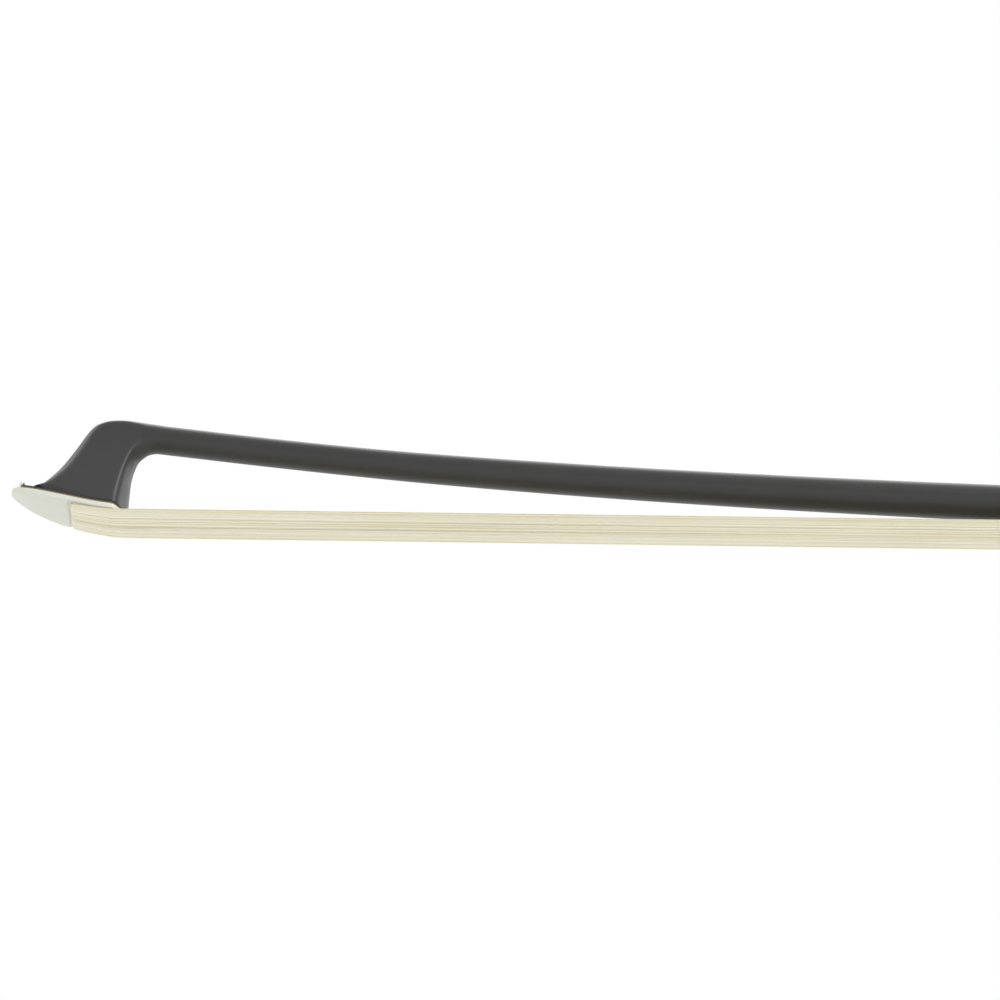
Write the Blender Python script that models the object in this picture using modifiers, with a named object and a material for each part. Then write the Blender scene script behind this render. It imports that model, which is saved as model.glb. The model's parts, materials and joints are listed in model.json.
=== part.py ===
"""Violin bow: a moulded black stick and head, a hank of horsehair, a sliding frog and its tightening screw.

Two frames are used. The bow frame runs from the beak of the head (x = 0) along the hair, with z = 0 on
the underside of the free hair. The handle frame has its origin on the stick's axis above the ferrule's
mouth, with x along the straight handle towards the button. The frog and the screw have frames of their
own in the same place, which is on the axis that both of them move on.
"""

import math

import bmesh
import bpy
from mathutils import Vector

MM = 0.001

# Fits
GLUE_GAP = 0.1 * MM  # between pieces that are glued, pinned or pressed together
RUNNING_GAP = 0.12 * MM  # between pieces that slide or turn on each other
CUT_MARGIN = 3.0 * MM  # how far a cutter runs past what it cuts

# Stick
FERRULE_STATION = 675.0 * MM  # from the beak to the ferrule's mouth
HANDLE_TILT = math.radians(4.5)  # of the straight handle, to the hair
HANDLE_START = 600.0 * MM  # from the beak to where the stick becomes straight
HANDLE_ROUND_LENGTH = 12.0 * MM  # of the straight handle that is still round
OCTAGON_BLEND_LENGTH = 14.0 * MM  # over which it then turns into an octagon
HANDLE_THICKNESS = 8.6 * MM  # across the flats
BUTT_X = 54.0 * MM  # handle frame: the shoulder that the button turns against
NIPPLE_LENGTH = 2.5 * MM
NIPPLE_RADIUS = 2.9 * MM
NECK_LENGTH = 1.3 * MM  # of round stick behind the head's first section
NECK_THICKNESS = 5.56 * MM
NECK_HEIGHT = 20.2 * MM  # of the stick's axis there, above the hair's underside
HEAD_SLOPE = -0.126  # of the stick's axis there

# Head: pairs of points down its rear, from the throat, and down its front ridge, from the crown
HEAD_REAR = (
    (27.3 * MM, 17.55 * MM),
    (26.4 * MM, 17.35 * MM),
    (25.7 * MM, 17.0 * MM),
    (25.1 * MM, 16.5 * MM),
    (24.4 * MM, 15.75 * MM),
    (23.8 * MM, 14.75 * MM),
    (23.3 * MM, 13.1 * MM),
    (22.95 * MM, 11.4 * MM),
    (22.75 * MM, 9.5 * MM),
    (22.7 * MM, 7.7 * MM),
    (22.65 * MM, 5.9 * MM),
    (22.65 * MM, 4.2 * MM),
    (22.75 * MM, 2.6 * MM),
    (22.8 * MM, 1.6 * MM),
)
HEAD_FRONT = (
    (27.0 * MM, 23.35 * MM),
    (25.0 * MM, 23.75 * MM),
    (22.8 * MM, 24.2 * MM),
    (20.5 * MM, 24.65 * MM),
    (18.2 * MM, 24.65 * MM),
    (16.4 * MM, 24.25 * MM),
    (14.9 * MM, 23.35 * MM),
    (13.5 * MM, 21.25 * MM),
    (12.0 * MM, 18.25 * MM),
    (10.3 * MM, 15.05 * MM),
    (8.6 * MM, 12.35 * MM),
    (6.4 * MM, 9.85 * MM),
    (4.4 * MM, 8.6 * MM),
    (2.6 * MM, 8.4 * MM),
)
HEAD_BLEND_RINGS = 6  # over which the round stick turns into the flat-cheeked head
CHEEK_HEIGHT = 20.0 * MM  # above the face, where the cheeks are as thin as the stick
CHEEK_FLARE = 1.5  # how quickly the cheeks widen towards the face
RIDGE_CRISPNESS = 7  # of the edges between the cheeks and the ridges' chamfers
REAR_RIDGE_RADIUS = 2.2 * MM
REAR_CHAMFER = 1.6  # half-width gained for each unit of depth behind the rear ridge
FRONT_RIDGE_RADIUS = 0.8 * MM
FRONT_CHAMFER = 0.8

# Camber of the stick: from the beak along the hair, and the axis above the hair's underside
HEAD_START = HEAD_REAR[0][0] + NECK_LENGTH
CAMBER = (
    (HEAD_START, NECK_HEIGHT),
    (50.0 * MM, 17.47 * MM),
    (75.0 * MM, 14.72 * MM),
    (100.0 * MM, 12.62 * MM),
    (130.0 * MM, 10.62 * MM),
    (160.0 * MM, 9.02 * MM),
    (190.0 * MM, 7.77 * MM),
    (240.0 * MM, 6.25 * MM),
    (300.0 * MM, 5.5 * MM),
)
THICKNESS = (  # from the beak, and the round stick's diameter
    (HEAD_START, NECK_THICKNESS),
    (62.0 * MM, 5.62 * MM),
    (104.0 * MM, 6.15 * MM),
    (171.0 * MM, 6.9 * MM),
    (300.0 * MM, 7.75 * MM),
    (450.0 * MM, 8.3 * MM),
    (HANDLE_START, HANDLE_THICKNESS),
)

# Face of the head and its plate
PLATE_LENGTH = 20.5 * MM  # to the kink where the hair leaves it
PLATE_REAR_EASE = 0.1 * MM  # by which the plate stops short of the head's rear
PLATE_HALF_WIDTH = 4.65 * MM
PLATE_NOSE = 14.0 * MM  # length over which the plate narrows to the beak
PLATE_NOSE_TAPER = 2.1  # how late it narrows
PLATE_NOSE_BLUNTNESS = 0.53  # how pointed it ends: less is blunter
PLATE_THICKNESS = 0.9 * MM
PLATE_STEP = 0.25 * MM  # by which the plate in front of the hair stands proud
PLATE_STEP_RUN = 0.05 * MM  # of the slope that drops by that much
PLATE_EDGE = 0.2 * MM
LINER_THICKNESS = 0.5 * MM
LINER_START = 2.6 * MM
FACE_HEEL_SLOPE = 0.117
FACE_BEAK_RISE = 6.15 * MM
SPUR_PEAK = 1.8 * MM  # from the beak to the top of the plate's upturned spur
SPUR_END = 2.3 * MM
SPUR_HEIGHT = 3.0 * MM
SPUR_FLANK = (0.4, 0.25)  # shares of the plate's half-width and of the spur's height, half-way down

# Hair
HAIR_THICKNESS = 0.6 * MM
HAIR_WIDTH_IN_HEAD = 5.6 * MM
HAIR_WIDTH_AT_STEP = 8.3 * MM
HAIR_WIDTH_AT_HEEL = 9.2 * MM
HAIR_WIDTH_FREE = 9.4 * MM
HAIR_WIDTH_AT_FROG = 10.2 * MM
HAIR_WIDTH_IN_FROG = 7.4 * MM
HAIR_BEND_RADIUS = 0.7 * MM
KNOT_RADIUS = 1.4 * MM
KNOT_LENGTH = 2.6 * MM
KNOT_WAIST = 0.2 * MM  # by which the binding pulls the knot in
KNOT_RIM = 0.2  # share of the knot's length from each end to its widest place
KNOT_BINDING = 0.3  # share of the knot's length from each end to its binding

# Mortise in the head
TIP_MORTISE_START = 11.4 * MM
TIP_MORTISE_END = 17.2 * MM
TIP_MORTISE_HALF_WIDTH = 3.3 * MM
TIP_MORTISE_ROOF_HALF_WIDTH = 2.8 * MM
TIP_MORTISE_ROOF = 10.2 * MM  # above the hair's underside
PLATE_OPENING_HALF_WIDTH = 3.7 * MM

# Frog, in the handle frame
FROG_HEIGHT = 19.5 * MM  # from the stick's lower flat to the frog's base
FROG_LENGTH = 47.0 * MM  # from the ferrule's mouth to the heel
FROG_HALF_WIDTH = 6.3 * MM
FROG_WAIST_HALF_WIDTH = 4.9 * MM
FROG_TOP_HALF_WIDTH = 5.6 * MM
FROG_EDGE_DROP = 1.6 * MM  # from the stick's axis to the frog's upper edges
FROG_EDGE_FLAT = 0.8 * MM  # along the frog's lower edges
FROG_FLANK_HEIGHT = 3.6 * MM  # of the straight flank above the base
FROG_FLANK_EASE = 1.3  # how softly the hollow flank starts and ends
THUMB_REACH = 2.2 * MM  # by which the frog's top reaches over the ferrule
THUMB_EDGE = 1.0 * MM  # height of the blunt edge there
THROAT_DEPTH = 3.4 * MM  # of the hollow under the thumb
THROAT_SKEW = 0.85  # less than 1 puts the deepest place nearer the ferrule
HEEL_HOLLOW = 0.9 * MM
FERRULE_LENGTH = 12.5 * MM
FERRULE_HALF_WIDTH = 6.2 * MM
FERRULE_HEIGHT = 8.1 * MM
FERRULE_ARCH = 4.8 * MM
FERRULE_CORNER = 0.9 * MM
FERRULE_WALL = 0.6 * MM
TONGUE_SETBACK = 0.4 * MM  # of the wedge and the tongue, behind the ferrule's mouth
TONGUE_ROOT = 1.5 * MM  # by which the tongue is joined into the frog
WEDGE_THICKNESS = 1.7 * MM
WEDGE_EDGE = 0.3 * MM  # thickness of the wedge's rear edge
WEDGE_FLAT = 8.0 * MM
WEDGE_LENGTH = 11.0 * MM
PEARL_THICKNESS = 0.9 * MM
BACKING_THICKNESS = 1.1 * MM
SLIDE_HALF_WIDTH = 4.6 * MM  # of the pearl, at the base
DOVETAIL = 0.25  # half-width gained for each unit of depth
HEEL_PLATE_LENGTH = 10.6 * MM  # along the frog's base
HEEL_PLATE_THICKNESS = 0.8 * MM
HEEL_PLATE_HEIGHT = 11.0 * MM
PIN_RADIUS = 0.55 * MM
PIN_LENGTH = 3.4 * MM
HEEL_PIN_INSET = 2.6 * MM  # from the heel plate's upper edge
BASE_PIN_INSET = 6.5 * MM  # from the heel
UNDERSLIDE_PIN_INSET = 4.0 * MM  # from each end of the frog's top
UNDERSLIDE_THICKNESS = 0.4 * MM
UNDERSLIDE_INSET = 0.5 * MM  # from each end of the frog's top
FROG_MORTISE_START = 17.5 * MM
FROG_MORTISE_END = 27.5 * MM
FROG_MORTISE_HALF_WIDTH = 4.0 * MM
FROG_MORTISE_DEPTH = 6.2 * MM  # above the hair channel's roof
EYE_X = 27.5 * MM
EYE_DROP = 12.6 * MM  # below the stick's axis
EYE_RADIUS = 2.9 * MM
EYE_DEPTH = 1.0 * MM
RING_RADIUS = 4.1 * MM
RING_WIDTH = 0.6 * MM

# Eyelet, screw and button, in the handle frame
EYELET_X = 26.0 * MM
EYELET_RADIUS = 2.4 * MM
EYELET_LENGTH = 4.2 * MM
EYELET_HALF_WIDTH = 2.0 * MM
STEM_RADIUS = 1.5 * MM
STEM_LENGTH = 7.0 * MM  # below the stick's lower flat
TIGHTEN_TRAVEL = 4.2 * MM
LOOSEN_TRAVEL = 2.1 * MM
SLOT_MARGIN = 0.4 * MM
SCREW_RADIUS = 1.5 * MM
SCREW_PITCH = 0.7 * MM
THREAD_DEPTH = 0.25 * MM
THREAD_START = 21.0 * MM
THREAD_LENGTH = 14.0 * MM
NOSE_RADIUS = 1.05 * MM
NOSE_LENGTH = 6.0 * MM
NOSE_TAPER = 0.5 * MM
TANG_RADIUS = 1.2 * MM
BUTTON_FRONT_LENGTH = 3.8 * MM
BUTTON_CORE_LENGTH = 6.4 * MM
BUTTON_END_LENGTH = 4.4 * MM
BUTTON_EDGE = 0.35 * MM
BUTTON_WAIST = 0.35 * MM  # by which the core is hollowed between its collars
DOT_RADIUS = 2.4 * MM
DOT_THICKNESS = 0.9 * MM
DOT_EDGE = 0.2 * MM

# Grip on the stick
LEATHER_END = 7.4 * MM  # handle frame
LEATHER_LENGTH = 26.0 * MM
LEATHER_THICKNESS = 0.9 * MM
WINDING_LENGTH = 74.0 * MM
WINDING_THICKNESS = 0.3 * MM

# How finely the shapes are drawn
RING_SIDES = 32
RING_SPACING = 8.0 * MM  # between the stick's rings at the head
SPACING_GROWTH = 0.08  # by which that grows for each unit of distance from the head
OCTAGON_STEPS = 2  # between the round stick and its octagon
ROUND_SIDES = 24
SCREW_SIDES = 10
THREAD_RINGS = 3  # for each turn
FACE_STEPS = 16
PLATE_STEPS = 5
PLATE_REAR_STEPS = 8
BEAK_SHARES = (0.05, 0.3, 0.6, 1.0)  # of the way from the beak to the spur's peak
CORE_STEPS = 4
FLANK_STEPS = 10
ARC_STEPS = 8
SHARP_ANGLE = math.radians(35)
MERGE_DISTANCE = 0.002 * MM  # under which two points are the same point
SLOPE_STEP = 0.5 * MM  # to each side, over which the stick's slope is read
LEAST_WIDTH = 0.01 * MM  # of a head section, away from the middle plane's own points

# Values worked out from the sizes above
APOTHEM = HANDLE_THICKNESS / 2
OCTAGON_START = HANDLE_START + HANDLE_ROUND_LENGTH
OCTAGON_FULL = OCTAGON_START + OCTAGON_BLEND_LENGTH
LEATHER_START = FERRULE_STATION + LEATHER_END - LEATHER_LENGTH  # from the beak
WINDING_START = LEATHER_START - GLUE_GAP - WINDING_LENGTH
BASE_Z = -(APOTHEM + FROG_HEIGHT)  # the frog's base, in the handle frame
MOUTH_HAIR_Z = BASE_Z + FERRULE_WALL + GLUE_GAP  # the hair's underside in the ferrule
AXIS_AT_MOUTH = -MOUTH_HAIR_Z * math.cos(HANDLE_TILT)
FOOT_DROP = (FERRULE_WALL + GLUE_GAP) * math.cos(HANDLE_TILT)  # lowest point, below the hair
SHOULDER_X = FERRULE_LENGTH + GLUE_GAP  # where the frog's body starts, behind the ferrule
FROG_FRONT_X = SHOULDER_X - THUMB_REACH
SLIDE_END = FROG_LENGTH - HEEL_PLATE_LENGTH - GLUE_GAP
SLIDE_TOP_Z = BASE_Z + PEARL_THICKNESS + GLUE_GAP + BACKING_THICKNESS
CHANNEL_HAIR_Z = SLIDE_TOP_Z + GLUE_GAP + HAIR_THICKNESS / 2  # middle of the hair over the slide
CHANNEL_ROOF_Z = CHANNEL_HAIR_Z + HAIR_THICKNESS / 2 + GLUE_GAP
FROG_MORTISE_ROOF_Z = CHANNEL_ROOF_Z + FROG_MORTISE_DEPTH
WEDGE_BASE_Z = MOUTH_HAIR_Z + HAIR_THICKNESS + GLUE_GAP
WEDGE_TOP_Z = WEDGE_BASE_Z + WEDGE_THICKNESS
KNOT_ROOM = KNOT_LENGTH + 3 * GLUE_GAP  # that a knot takes up under its mortise's roof
BUTTON_START = BUTT_X + RUNNING_GAP
BUTTON_CORE_START = BUTTON_START + BUTTON_FRONT_LENGTH + GLUE_GAP
BUTTON_END_START = BUTTON_CORE_START + BUTTON_CORE_LENGTH + GLUE_GAP
BUTTON_END = BUTTON_END_START + BUTTON_END_LENGTH
OVERALL_LENGTH = (
    FERRULE_STATION
    + BUTTON_END * math.cos(HANDLE_TILT)
    + APOTHEM * math.sin(HANDLE_TILT)
)
PLATE_END = HEAD_REAR[-1][0] - PLATE_REAR_EASE
FACE_CURVE = (FACE_BEAK_RISE - FACE_HEEL_SLOPE * PLATE_LENGTH) / PLATE_LENGTH**2
HEAD_BASE_RISE = PLATE_THICKNESS + LINER_THICKNESS + 2 * GLUE_GAP  # of the head above the face

# How a flat outline is turned, so that its own x and y become:
SIDE_VIEW = (math.pi / 2, 0, 0)  # x and z
END_VIEW = (math.pi / 2, 0, math.pi / 2)  # y and z


def clear_scene():
    for old in list(bpy.data.objects):
        bpy.data.objects.remove(old)


def new_collection(name):
    made = bpy.data.collections.new(name)
    bpy.context.scene.collection.children.link(made)
    return made


def new_frame(name, parent=None):
    frame = bpy.data.objects.new(name, None)
    frame.parent = parent
    PIECES.objects.link(frame)
    return frame


def new_material(name, colour, roughness, metallic=0.0):
    material = bpy.data.materials.new(name)
    material.use_nodes = True
    shader = material.node_tree.nodes["Principled BSDF"]
    shader.inputs["Base Color"].default_value = (*colour, 1.0)
    shader.inputs["Roughness"].default_value = roughness
    shader.inputs["Metallic"].default_value = metallic
    return material


clear_scene()
PIECES = new_collection("violin_bow")
CUTTERS = new_collection("violin_bow_cutters")

BOW = new_frame("bow_frame")
BOW.location = (-OVERALL_LENGTH / 2, 0, FOOT_DROP)
HANDLE = new_frame("handle_frame", BOW)
HANDLE.location = (FERRULE_STATION, 0, AXIS_AT_MOUTH)
HANDLE.rotation_euler = (0, -HANDLE_TILT, 0)
FROG = new_frame("frog_frame", HANDLE)
SCREW = new_frame("screw_frame", HANDLE)

CARBON = new_material("matte_black_carbon", (0.065, 0.065, 0.066), 0.5)
IVORY_PLASTIC = new_material("ivory_white_plastic", (0.78, 0.79, 0.70), 0.35)
BLACK_FIBRE = new_material("black_fibre", (0.02, 0.02, 0.02), 0.6)
MAPLE = new_material("plain_maple", (0.62, 0.45, 0.27), 0.6)
HORSEHAIR = new_material("bleached_horsehair", (0.80, 0.76, 0.60), 0.45)
THREAD = new_material("binding_thread", (0.55, 0.12, 0.08), 0.8)
EBONY = new_material("ebony", (0.022, 0.018, 0.016), 0.35)
PEARL = new_material("mother_of_pearl", (0.82, 0.84, 0.83), 0.2)
NICKEL = new_material("nickel_silver", (0.72, 0.70, 0.66), 0.25, 1.0)
BRASS = new_material("brass", (0.76, 0.58, 0.26), 0.3, 1.0)
STEEL = new_material("steel", (0.55, 0.55, 0.56), 0.3, 1.0)
SILVER_WIRE = new_material("silver_wire", (0.80, 0.79, 0.77), 0.28, 1.0)
LEATHER = new_material("black_leather", (0.03, 0.026, 0.024), 0.65)


def link_piece(name, mesh, material, frame):
    """Links a mesh as a piece of the bow or, when it has no material, as a helper to cut others with."""
    piece = bpy.data.objects.new(name, mesh)
    piece.parent = frame
    if material is None:
        piece.hide_render = True
        piece.display_type = "WIRE"
        CUTTERS.objects.link(piece)
        return piece
    mesh.materials.append(material)
    mesh.shade_smooth()
    mesh.set_sharp_from_angle(angle=SHARP_ANGLE)
    PIECES.objects.link(piece)
    return piece


def mesh_of(shape, name):
    mesh = bpy.data.meshes.new(name)
    shape.to_mesh(mesh)
    shape.free()
    return mesh


def toward_angles(direction):
    """The rotation that turns a piece's own z axis towards a direction."""
    return Vector(direction).to_track_quat("Z", "Y").to_euler()


def box(name, low, high, material, frame):
    shape = bmesh.new()
    bmesh.ops.create_cube(shape, size=1.0)
    bmesh.ops.scale(shape, verts=shape.verts, vec=Vector(high) - Vector(low))
    piece = link_piece(name, mesh_of(shape, name), material, frame)
    piece.location = (Vector(high) + Vector(low)) / 2
    return piece


def cylinder(name, radius, length, base, direction, material, frame):
    """A plain cylinder that starts at base and runs in a direction."""
    shape = bmesh.new()
    bmesh.ops.create_cone(
        shape, cap_ends=True, segments=ROUND_SIDES, radius1=radius, radius2=radius, depth=length
    )
    bmesh.ops.translate(shape, verts=shape.verts, vec=(0, 0, length / 2))
    piece = link_piece(name, mesh_of(shape, name), material, frame)
    piece.location = base
    piece.rotation_euler = toward_angles(direction)
    return piece


def turned(name, profile, base, direction, material, frame, sides=ROUND_SIDES):
    """A piece turned from (distance, radius) pairs, which run from base in a direction."""
    shape = bmesh.new()
    outline = [(profile[0][0], 0.0), *profile, (profile[-1][0], 0.0)]
    points = [shape.verts.new((radius, 0, distance)) for distance, radius in reversed(outline)]
    for point, following in zip(points, points[1:]):
        shape.edges.new((point, following))
    piece = link_piece(name, mesh_of(shape, name), material, frame)
    piece.location = base
    piece.rotation_euler = toward_angles(direction)
    turning = piece.modifiers.new("turning", "SCREW")
    turning.steps = sides
    turning.render_steps = sides
    turning.use_merge_vertices = True
    turning.merge_threshold = MERGE_DISTANCE
    return piece


def prism(name, outlines, view, low, high, material, frame):
    """A flat outline, with holes for any further outlines, given thickness from low to high."""
    curve = bpy.data.curves.new(name, "CURVE")
    curve.dimensions = "2D"
    curve.fill_mode = "BOTH"
    curve.extrude = (high - low) / 2
    for outline in outlines:
        spline = curve.splines.new("POLY")
        spline.points.add(len(outline) - 1)
        for point, (across, up) in zip(spline.points, outline):
            point.co = (across, up, 0, 1)
        spline.use_cyclic_u = True
    drawn = bpy.data.objects.new(name, curve)
    bpy.context.scene.collection.objects.link(drawn)
    graph = bpy.context.evaluated_depsgraph_get()
    filled = bpy.data.meshes.new_from_object(drawn.evaluated_get(graph))
    bpy.data.objects.remove(drawn)
    shape = bmesh.new()
    shape.from_mesh(filled)
    bmesh.ops.remove_doubles(shape, verts=shape.verts, dist=MERGE_DISTANCE)
    piece = link_piece(name, mesh_of(shape, name), material, frame)
    middle = (low + high) / 2
    piece.location = (middle, 0, 0) if view == END_VIEW else (0, middle, 0)
    piece.rotation_euler = view
    return piece


def loft(name, rings, material, frame, capped=True):
    """Skins rings that all have the same number of points."""
    shape = bmesh.new()
    rows = [[shape.verts.new(point) for point in ring] for ring in rings]
    for row, following in zip(rows, rows[1:]):
        for i in range(len(row)):
            j = (i + 1) % len(row)
            shape.faces.new((row[i], row[j], following[j], following[i]))
    if capped:
        shape.faces.new(rows[0])
        shape.faces.new(rows[-1])
    bmesh.ops.recalc_face_normals(shape, faces=shape.faces)
    return link_piece(name, mesh_of(shape, name), material, frame)


def thicken(piece, thickness, offset):
    """Gives a surface its thickness: offset 1 builds outwards and 0 builds to both sides."""
    solid = piece.modifiers.new("thickness", "SOLIDIFY")
    solid.thickness = thickness
    solid.offset = offset
    solid.use_even_offset = True
    return piece


def ribbon(name, line, thickness, material, frame):
    """A strip whose middle follows (x, z, width) points, with half its thickness to each side."""
    shape = bmesh.new()
    rows = []
    for x, z, width in line:
        rows.append([shape.verts.new((x, side * width / 2, z)) for side in (-1, 1)])
    for row, following in zip(rows, rows[1:]):
        shape.faces.new((row[0], row[1], following[1], following[0]))
    return thicken(link_piece(name, mesh_of(shape, name), material, frame), thickness, 0.0)


def combine(target, *tools, operation="DIFFERENCE"):
    for tool in tools:
        modifier = target.modifiers.new(tool.name, "BOOLEAN")
        modifier.operation = operation
        modifier.solver = "EXACT"
        modifier.object = tool
    return target


def places_between(first, last, steps):
    return [first + (last - first) * i / steps for i in range(steps + 1)]


def circle(centre, radius):
    return arc(centre, radius, 0, 2 * math.pi, ROUND_SIDES)[:-1]


def arc(centre, radius, first, last, steps):
    angles = places_between(first, last, steps)
    return [(centre[0] + radius * math.cos(a), centre[1] + radius * math.sin(a)) for a in angles]


def mirrored(outline):
    """An outline's right side, given from the bottom up, followed by its left side coming down."""
    return outline + [(-across, up) for across, up in reversed(outline)]


def smooth_curve(stations, at, first_slope, last_slope):
    """A smooth curve through (place, value) stations, read at one place."""
    slopes = [first_slope]
    for (a, u), (b, v), (c, w) in zip(stations, stations[1:], stations[2:]):
        slopes.append(((v - u) / (b - a) * (c - b) + (w - v) / (c - b) * (b - a)) / (c - a))
    slopes.append(last_slope)
    at = min(max(at, stations[0][0]), stations[-1][0])
    i = max(i for i, (place, value) in enumerate(stations[:-1]) if place <= at)
    (a, u), (b, v) = stations[i], stations[i + 1]
    span = b - a
    t = (at - a) / span
    return (
        u * (1 + 2 * t) * (1 - t) ** 2
        + v * t * t * (3 - 2 * t)
        + slopes[i] * span * t * (1 - t) ** 2
        - slopes[i + 1] * span * t * t * (1 - t)
    )


def handle_point(x, z):
    """A point of the handle frame's middle plane, in the bow frame."""
    cosine, sine = math.cos(HANDLE_TILT), math.sin(HANDLE_TILT)
    return FERRULE_STATION + x * cosine - z * sine, AXIS_AT_MOUTH + x * sine + z * cosine


def axis_height(station):
    """The stick's axis above the hair's underside, at a distance from the beak."""
    slope = math.tan(HANDLE_TILT)
    handle_start_height = AXIS_AT_MOUTH + (HANDLE_START - FERRULE_STATION) * slope
    if station >= HANDLE_START:
        return handle_start_height + (station - HANDLE_START) * slope
    return smooth_curve((*CAMBER, (HANDLE_START, handle_start_height)), station, HEAD_SLOPE, slope)


def axis_direction(station):
    before = max(station - SLOPE_STEP, HEAD_START)
    rise = axis_height(station + SLOPE_STEP) - axis_height(before)
    return Vector((station + SLOPE_STEP - before, 0, rise)).normalized()


def half_angles():
    """Angles up one side of a ring, from its lowest point to its highest."""
    return places_between(0, math.pi, RING_SIDES // 2)


def whole_ring(points):
    """A ring from the points of its +Y side, whose first and last lie on the middle plane."""
    return points + [Vector((p.x, -p.y, p.z)) for p in reversed(points[1:-1])]


def round_ring(station, reach_at):
    """A ring square to the stick's axis, reach_at giving its radius at each angle."""
    forward = axis_direction(station)
    upward = Vector((-forward.z, 0, forward.x))
    centre = Vector((station, 0, axis_height(station)))
    points = []
    for angle in half_angles():
        sideways = Vector((0, math.sin(angle), 0))
        points.append(centre + (sideways - upward * math.cos(angle)) * reach_at(angle))
    return whole_ring(points)


def octagon_reach(angle, apothem):
    facet = math.pi / 4
    from_flat = (angle + facet / 2) % facet - facet / 2
    return apothem / math.cos(from_flat)


def stick_ring(station, offset=0.0):
    """The stick's outline at a station, grown by offset: round, then turning into an octagon."""
    share = (station - OCTAGON_START) / (OCTAGON_FULL - OCTAGON_START)
    share = min(max(share, 0.0), 1.0)
    radius = smooth_curve(THICKNESS, station, 0.0, 0.0) / 2 + offset
    return round_ring(
        station,
        lambda angle: (1 - share) * radius + share * octagon_reach(angle, APOTHEM + offset),
    )


def stick_stations():
    """Places for the stick's rings, from the butt to the head, closer together towards the head."""
    turning = places_between(OCTAGON_START, OCTAGON_FULL, OCTAGON_STEPS)
    places = [HANDLE_START]
    while places[-1] > HEAD_START:
        spacing = RING_SPACING + (places[-1] - HEAD_START) * SPACING_GROWTH
        places.append(max(places[-1] - spacing, HEAD_START))
    return sorted({*places, *turning, WINDING_START, handle_point(BUTT_X, 0)[0]}, reverse=True)


def face_height(station):
    """The plate's underside where the hair lies on it, above the free hair's underside."""
    back = max(PLATE_LENGTH - station, 0.0)
    return HAIR_THICKNESS + GLUE_GAP + FACE_HEEL_SLOPE * back + FACE_CURVE * back**2


def face_half_width(station):
    """Half the face's width: parallel behind, and rounded to a narrow beak in front."""
    ahead = min(max(1 - station / PLATE_NOSE, 0.0), 1.0)
    return PLATE_HALF_WIDTH * (1 - ahead**PLATE_NOSE_TAPER) ** PLATE_NOSE_BLUNTNESS


def ridge_half_width(depth, radius, chamfer):
    """Half-width at a depth behind a rounded ridge whose sides open out by chamfer."""
    tangent = radius * (1 - 1 / math.sqrt(1 + chamfer**-2))
    if depth < tangent:
        return math.sqrt(max(depth * (2 * radius - depth), 0.0))
    return math.sqrt(tangent * (2 * radius - tangent)) + (depth - tangent) * chamfer


def smooth_least(*widths):
    """The least of some widths, rounded off where they are nearly equal."""
    total = sum(max(width, LEAST_WIDTH) ** -RIDGE_CRISPNESS for width in widths)
    return total ** (-1 / RIDGE_CRISPNESS)


def plate_half_width(station):
    """Half the plate's width, which narrows behind as the head does to its rear ridge."""
    behind = max(HEAD_REAR[-1][0] - station, 0.0)
    return smooth_least(ridge_half_width(behind, REAR_RIDGE_RADIUS, REAR_CHAMFER), face_half_width(station))


def cheek_half_width(station, height):
    """Half the head's width between its ridges: the face's width at the face, thinning upwards."""
    above = min(max(height - face_height(station) - HEAD_BASE_RISE, 0.0), CHEEK_HEIGHT)
    flare = (1 - above / CHEEK_HEIGHT) ** CHEEK_FLARE
    return NECK_THICKNESS / 2 * (1 - flare) + face_half_width(station) * flare


def head_ring(rear, front, blend):
    """A section of the head, from a point of its rear ridge to a point of its front ridge."""
    start = Vector((rear[0], 0, rear[1]))
    across = Vector((front[0], 0, front[1])) - start
    points = []
    for angle in half_angles():
        share = (1 - math.cos(angle)) / 2
        point = start + across * share
        width = smooth_least(
            ridge_half_width(share * across.length, REAR_RIDGE_RADIUS, REAR_CHAMFER),
            ridge_half_width((1 - share) * across.length, FRONT_RIDGE_RADIUS, FRONT_CHAMFER),
            cheek_half_width(point.x, point.z),
        )
        point.y = (1 - blend) * NECK_THICKNESS / 2 * math.sin(angle) + blend * width
        points.append(point)
    points[0].y = points[-1].y = 0.0
    return whole_ring(points)


def face_ring(drop):
    """The head's outline at its face, which follows the plate's, lowered by drop."""
    start, end = HEAD_REAR[-1][0], HEAD_FRONT[-1][0]
    points = []
    for angle in half_angles():
        share = (1 - math.cos(angle)) / 2
        station = start + (end - start) * share
        width = smooth_least(
            ridge_half_width(start - station, REAR_RIDGE_RADIUS, REAR_CHAMFER),
            face_half_width(station - end),
        )
        points.append(Vector((station, width, face_height(station) + HEAD_BASE_RISE - drop)))
    points[0].y = points[-1].y = 0.0
    return whole_ring(points)


def head_rings():
    rings = []
    for i, (rear, front) in enumerate(zip(HEAD_REAR, HEAD_FRONT)):
        share = min((i + 1) / HEAD_BLEND_RINGS, 1.0)
        rings.append(head_ring(rear, front, share * share * (3 - 2 * share)))
    return rings + [face_ring(GLUE_GAP), face_ring(CUT_MARGIN)]


def face_places(start, end):
    """Places along the face, with the kink where the hair leaves the plate among them."""
    return sorted({*places_between(start, end, FACE_STEPS), PLATE_LENGTH})


def rear_places(start, steps):
    """Places from one on the plate to its rounded end, closer together towards the end."""
    turns = places_between(0, math.pi / 2, steps)
    return sorted({*[start + (PLATE_END - start) * math.sin(turn) for turn in turns], PLATE_LENGTH})


def face_outline(start, end, rise, depth):
    """A side outline under the face's curve, raised by rise and closed off at a depth below it."""
    curve = [(place, face_height(place) + rise) for place in face_places(start, end)]
    floor = face_height(end) + rise - depth
    return [*curve, (end, floor), (start, floor)]


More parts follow.
